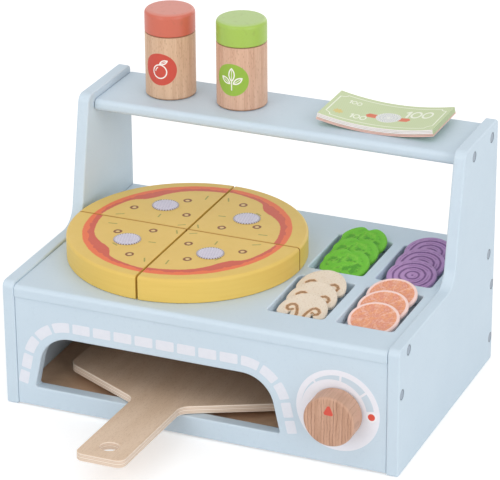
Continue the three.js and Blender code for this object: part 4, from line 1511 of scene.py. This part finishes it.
jar_profile = rounded(
    [
        (0, 0, 0),
        (JAR_RADIUS, 0, JAR_FOOT_EDGE),
        (JAR_RADIUS, JAR_HEIGHT, JAR_HEAD_EDGE),
        (SPIGOT_RADIUS, JAR_HEIGHT, SPIGOT_FOOT_EDGE),
        (SPIGOT_RADIUS, JAR_HEIGHT + SPIGOT_HEIGHT, SPIGOT_TOP_EDGE),
        (0, JAR_HEIGHT + SPIGOT_HEIGHT, 0),
    ],
    5,
    closed=False,
)
lid_profile = rounded(
    [
        (0, SPIGOT_HEIGHT + LID_CLEARANCE, 0),
        (SPIGOT_RADIUS + LID_CLEARANCE, SPIGOT_HEIGHT + LID_CLEARANCE, 0),
        (SPIGOT_RADIUS + LID_CLEARANCE, 0, SOCKET_EDGE),
        (JAR_RADIUS, 0, LID_FOOT_EDGE),
        (JAR_RADIUS, LID_HEIGHT, LID_TOP_EDGE),
        (0, LID_HEIGHT, 0),
    ],
    8,
    closed=False,
)
RED_WOOD = ((222, 187, 156), (208, 170, 139))
GREEN_WOOD = ((222, 182, 156), (208, 164, 138))
JARS = {
    "red": (
        jar_wood("red_jar_beech", *RED_WOOD, (204, 76, 60), red_motif),
        lid_paint("red_paint", (208, 106, 84), (224, 152, 138)),
    ),
    "green": (
        jar_wood("green_jar_beech", *GREEN_WOOD, (148, 184, 62), green_motif),
        lid_paint("green_paint", (164, 196, 82), (188, 210, 148)),
    ),
}
for colour, materials in JARS.items():
    centre = middle(f"{colour}_jar_body")
    turn = Matrix.Rotation(LABEL_TURN, 4, "Z")
    pieces = (
        ("body", "wood", "beech", jar_profile),
        ("lid", "lid_painted", f"{colour}_paint", lid_profile),
    )
    for (piece, ending, slot, profile), material in zip(pieces, materials):
        node = f"{colour}_jar_{piece}"
        place = Matrix.Translation((centre.x, centre.y, box(node)[0].z)) @ turn
        shown = make_object(f"{colour}_jar_{ending}", turned(profile, JAR_STEPS), place)
        finish_piece(shown, material, f"{colour}_jar", [node], angle=50)


# Play notes

NOTE_LENGTH = 90
NOTE_WIDTH = 48
NOTE_THICKNESS = 0.8
NOTE_SPACING = 0.25
NOTE_SAG = 5
NOTE_BEND = (NOTE_LENGTH ** 2 / 4 + NOTE_SAG ** 2) / (2 * NOTE_SAG)
NOTE_STEPS = 48
NOTE_COUNT = 5
NOTE_PINK_COUNT = 2

# Their print, from the middle of the note; numerals as (place, height, half the line's width)
NUMERALS = (
    ((-31, 11), 5, 0.45),
    ((15, 7), 11, 0.95),
    ((-22, -11), 6.5, 0.6),
)
SCOOP_INSET = 4
SCOOP_RADIUS = 5
BORDER_INSET = 4.5
BORDER_LINE = 0.42
SUN = (-33, -10)
SUN_RADIUS = 3.3
SUN_RAYS = 8
BAND = (3, -4)
BAND_HALF = (17, 3.3)
ROSETTE = (3, -3)
ROSETTE_RADIUS = 9.2
ROSETTE_RINGS = (7.6, 5.2, 2.8)
ROSETTE_PETALS = 12
PALE_PRINT = (244, 247, 232)


def hundred(s, x, y, height, line):
    """A plain 100 from the left, its one centred on (0, 0)."""
    half = height / 2
    stem = s.below(s.to_segment(x, y, (0, -half), (0.01, half)), line)
    flag = s.below(s.to_segment(x, y, (-height * 0.18, half * 0.6), (0, half)), line)
    strokes = [stem, flag]
    x = x - height * 0.52
    for _ in range(2):
        oval = s.length(x / 0.62, y)
        strokes.append(s.below(abs(oval - half), line * 1.15))
        x = x - height * 0.78
    return s.most(*strokes)


def note_border(s, x, y):
    """A line along the rim that is scooped round each corner."""
    inset = s.least(NOTE_LENGTH / 2 - abs(x), NOTE_WIDTH / 2 - abs(y))
    corner = (NOTE_LENGTH / 2 - SCOOP_INSET, NOTE_WIDTH / 2 - SCOOP_INSET)
    reach = s.distance(abs(x), abs(y), corner)
    straight = s.below(abs(inset - BORDER_INSET), BORDER_LINE, 0.12)
    straight = straight * s.rise(reach, SCOOP_RADIUS - 0.1, SCOOP_RADIUS + 0.3)
    scoop = s.below(abs(reach - SCOOP_RADIUS), BORDER_LINE, 0.12)
    return s.most(straight, scoop * s.rise(inset, BORDER_INSET - 0.3, BORDER_INSET + 0.1))


def sun(s, x, y):
    """A small round with short rays."""
    rays = s.math("SINE", s.turn(x - SUN[0], y - SUN[1]) * SUN_RAYS) * 0.7
    return s.below(s.distance(x, y, SUN) + rays, SUN_RADIUS)


def rosette(s, x, y, tone):
    """A pale round of wavy rings on a red band with pointed ends."""
    up = abs(y - BAND[1])
    band = s.below(up, BAND_HALF[1], 0.15) * s.below(abs(x - BAND[0]) + up * 0.6, BAND_HALF[0], 0.15)
    tone = s.mix(band, tone, (222, 116, 84))
    reach = s.distance(x, y, ROSETTE)
    petals = s.math("SINE", s.turn(x - ROSETTE[0], y - ROSETTE[1]) * ROSETTE_PETALS) * 1.1
    tone = s.mix(s.below(reach, ROSETTE_RADIUS, 0.2), tone, (240, 240, 234))
    for ring in ROSETTE_RINGS:
        waves = (reach - ring - petals, reach - ring + petals)
        line = s.most(*[s.below(abs(wave), 0.3, 0.12) for wave in waves])
        tone = s.mix(line * 0.45, tone, (104, 132, 156))
    return tone


def note_paint(name, edge_tone):
    """Green play note: a pale border line, numbers, a small sun and a rosette on a red band."""
    s = Shader(name)
    x = s.x
    y = s.y + NOTE_WIDTH / 2
    tone = s.mix(s.noise(18), (204, 217, 173), (196, 210, 162))
    hatch = s.rise(s.math("SINE", (x + y * 0.6) * (TURN / 1.6)), -0.2, 0.4)
    tone = s.mix(hatch * 0.18, tone, (222, 230, 196))
    tone = s.mix(note_border(s, x, y) * 0.9, tone, PALE_PRINT)
    for place, height, line in NUMERALS:
        tone = s.mix(hundred(s, x - place[0], y - place[1], height, line) * 0.9, tone, PALE_PRINT)
    tone = s.mix(sun(s, x, y) * 0.8, tone, (222, 196, 110))
    tone = rosette(s, x, y, tone)
    ends = s.rise(abs(x), NOTE_LENGTH / 2 - 0.7, NOTE_LENGTH / 2 - 0.5)
    sides = s.rise(abs(y), NOTE_WIDTH / 2 - 0.03, NOTE_WIDTH / 2 - 0.01)
    tone = s.mix(s.most(ends, sides), tone, edge_tone)
    return s.finished(tone, s.noise(1.2), 0.02, Roughness=0.5)


def note_body(number):
    """A bent strip; the first is the lowest."""
    outer = NOTE_BEND - number * (NOTE_THICKNESS + NOTE_SPACING)
    inner = outer - NOTE_THICKNESS
    half = NOTE_LENGTH / 2 / NOTE_BEND
    rings = []
    for k in range(NOTE_STEPS + 1):
        angle = -half + 2 * half * k / NOTE_STEPS
        ring = []
        for radius, y in ((outer, 0), (outer, -NOTE_WIDTH), (inner, -NOTE_WIDTH), (inner, 0)):
            ring.append((radius * math.sin(angle), y, NOTE_BEND - radius * math.cos(angle)))
        rings.append(ring)
    return loft(rings)


NOTE_PINK_EDGES = note_paint("note_paper_pink_edge", (236, 190, 180))
NOTE_PALE_EDGES = note_paint("note_paper", (252, 242, 240))
for number in range(NOTE_COUNT):
    node = f"banknote_{number + 1}"
    place = Matrix.Translation((middle(node).x, box(node)[1].y, box("banknote_1")[0].z))
    shown = make_object(f"{node}_printed", note_body(number), place)
    material = NOTE_PINK_EDGES if number < NOTE_PINK_COUNT else NOTE_PALE_EDGES
    finish_piece(shown, material, f"note_{number + 1}", [node], angle=30)


# Floor, world and lights

FLOOR_REACH = 6000
FLOOR_DEPTH = 20
FLOOR_GAP = 0.05
FLOOR_GLOW = 0.4
WORLD_LIGHT = 0.74

# Name, place, the height that it aims at over the middle, size and power
LIGHTS = (
    ("key_light", (-1.8, -2.4, 4.2), 0.1, 2.4, 14),
    ("side_light", (3.4, -1.8, 1.6), 0.1, 2.8, 46),
    ("front_light", (-1.4, -4.0, 1.5), 0.05, 2.4, 34),
    ("back_light", (0.8, 4.0, 1.2), 0.1, 2.4, 16),
)


def seen_directly(tree):
    """1 for what the camera sees itself, in a reflection or through glass, else 0."""
    path = tree.nodes.new("ShaderNodeLightPath")
    socket = path.outputs["Is Camera Ray"]
    for other in ("Is Glossy Ray", "Is Transmission Ray"):
        both = tree.nodes.new("ShaderNodeMath")
        both.operation = "MAXIMUM"
        tree.links.new(socket, both.inputs[0])
        tree.links.new(path.outputs[other], both.inputs[1])
        socket = both.outputs[0]
    return socket


def make_stage():
    """A pale floor that keeps the object's shadow and otherwise shows white."""
    low = (-FLOOR_REACH, -FLOOR_REACH, -FLOOR_DEPTH)
    high = (FLOOR_REACH, FLOOR_REACH, -FLOOR_GAP)
    floor = make_object("floor", block(low, high))
    s = Shader("floor")
    tone = s.mix(s.noise(400), (228, 228, 228), (232, 232, 232))
    floor.data.materials.append(s.finished(tone, Roughness=0.9, Specular_IOR_Level=0.0))
    seen = Field(s, seen_directly(s.tree))
    glow = s.node("ShaderNodeEmission")
    s.feed(glow.inputs["Strength"], seen * FLOOR_GLOW)
    total = s.node("ShaderNodeAddShader")
    output = s.tree.nodes["Material Output"]
    s.tree.links.new(s.surface.outputs[0], total.inputs[0])
    s.tree.links.new(glow.outputs[0], total.inputs[1])
    s.tree.links.new(total.outputs[0], output.inputs["Surface"])


def make_world():
    """An even white studio, seen as white and lighting the object a little less."""
    world = bpy.data.worlds.new("studio")
    bpy.context.scene.world = world
    world.use_nodes = True
    tree = world.node_tree
    back = tree.nodes["Background"]
    back.inputs["Color"].default_value = (1, 1, 1, 1)
    strength = tree.nodes.new("ShaderNodeMapRange")
    strength.inputs["To Min"].default_value = WORLD_LIGHT
    strength.inputs["To Max"].default_value = 1
    tree.links.new(seen_directly(tree), strength.inputs["Value"])
    tree.links.new(strength.outputs["Result"], back.inputs["Strength"])


def area_light(name, place, aim, size, power):
    data = bpy.data.lights.new(name, "AREA")
    data.shape = "SQUARE"
    data.size = size
    data.energy = power
    light = bpy.data.objects.new(name, data)
    bpy.context.scene.collection.objects.link(light)
    light.location = place
    light.rotation_euler = (Vector((0, 0, aim)) - Vector(place)).to_track_quat("-Z", "Y").to_euler()


make_stage()
make_world()
for light in LIGHTS:
    area_light(*light)
bpy.context.scene.view_settings.view_transform = "Standard"
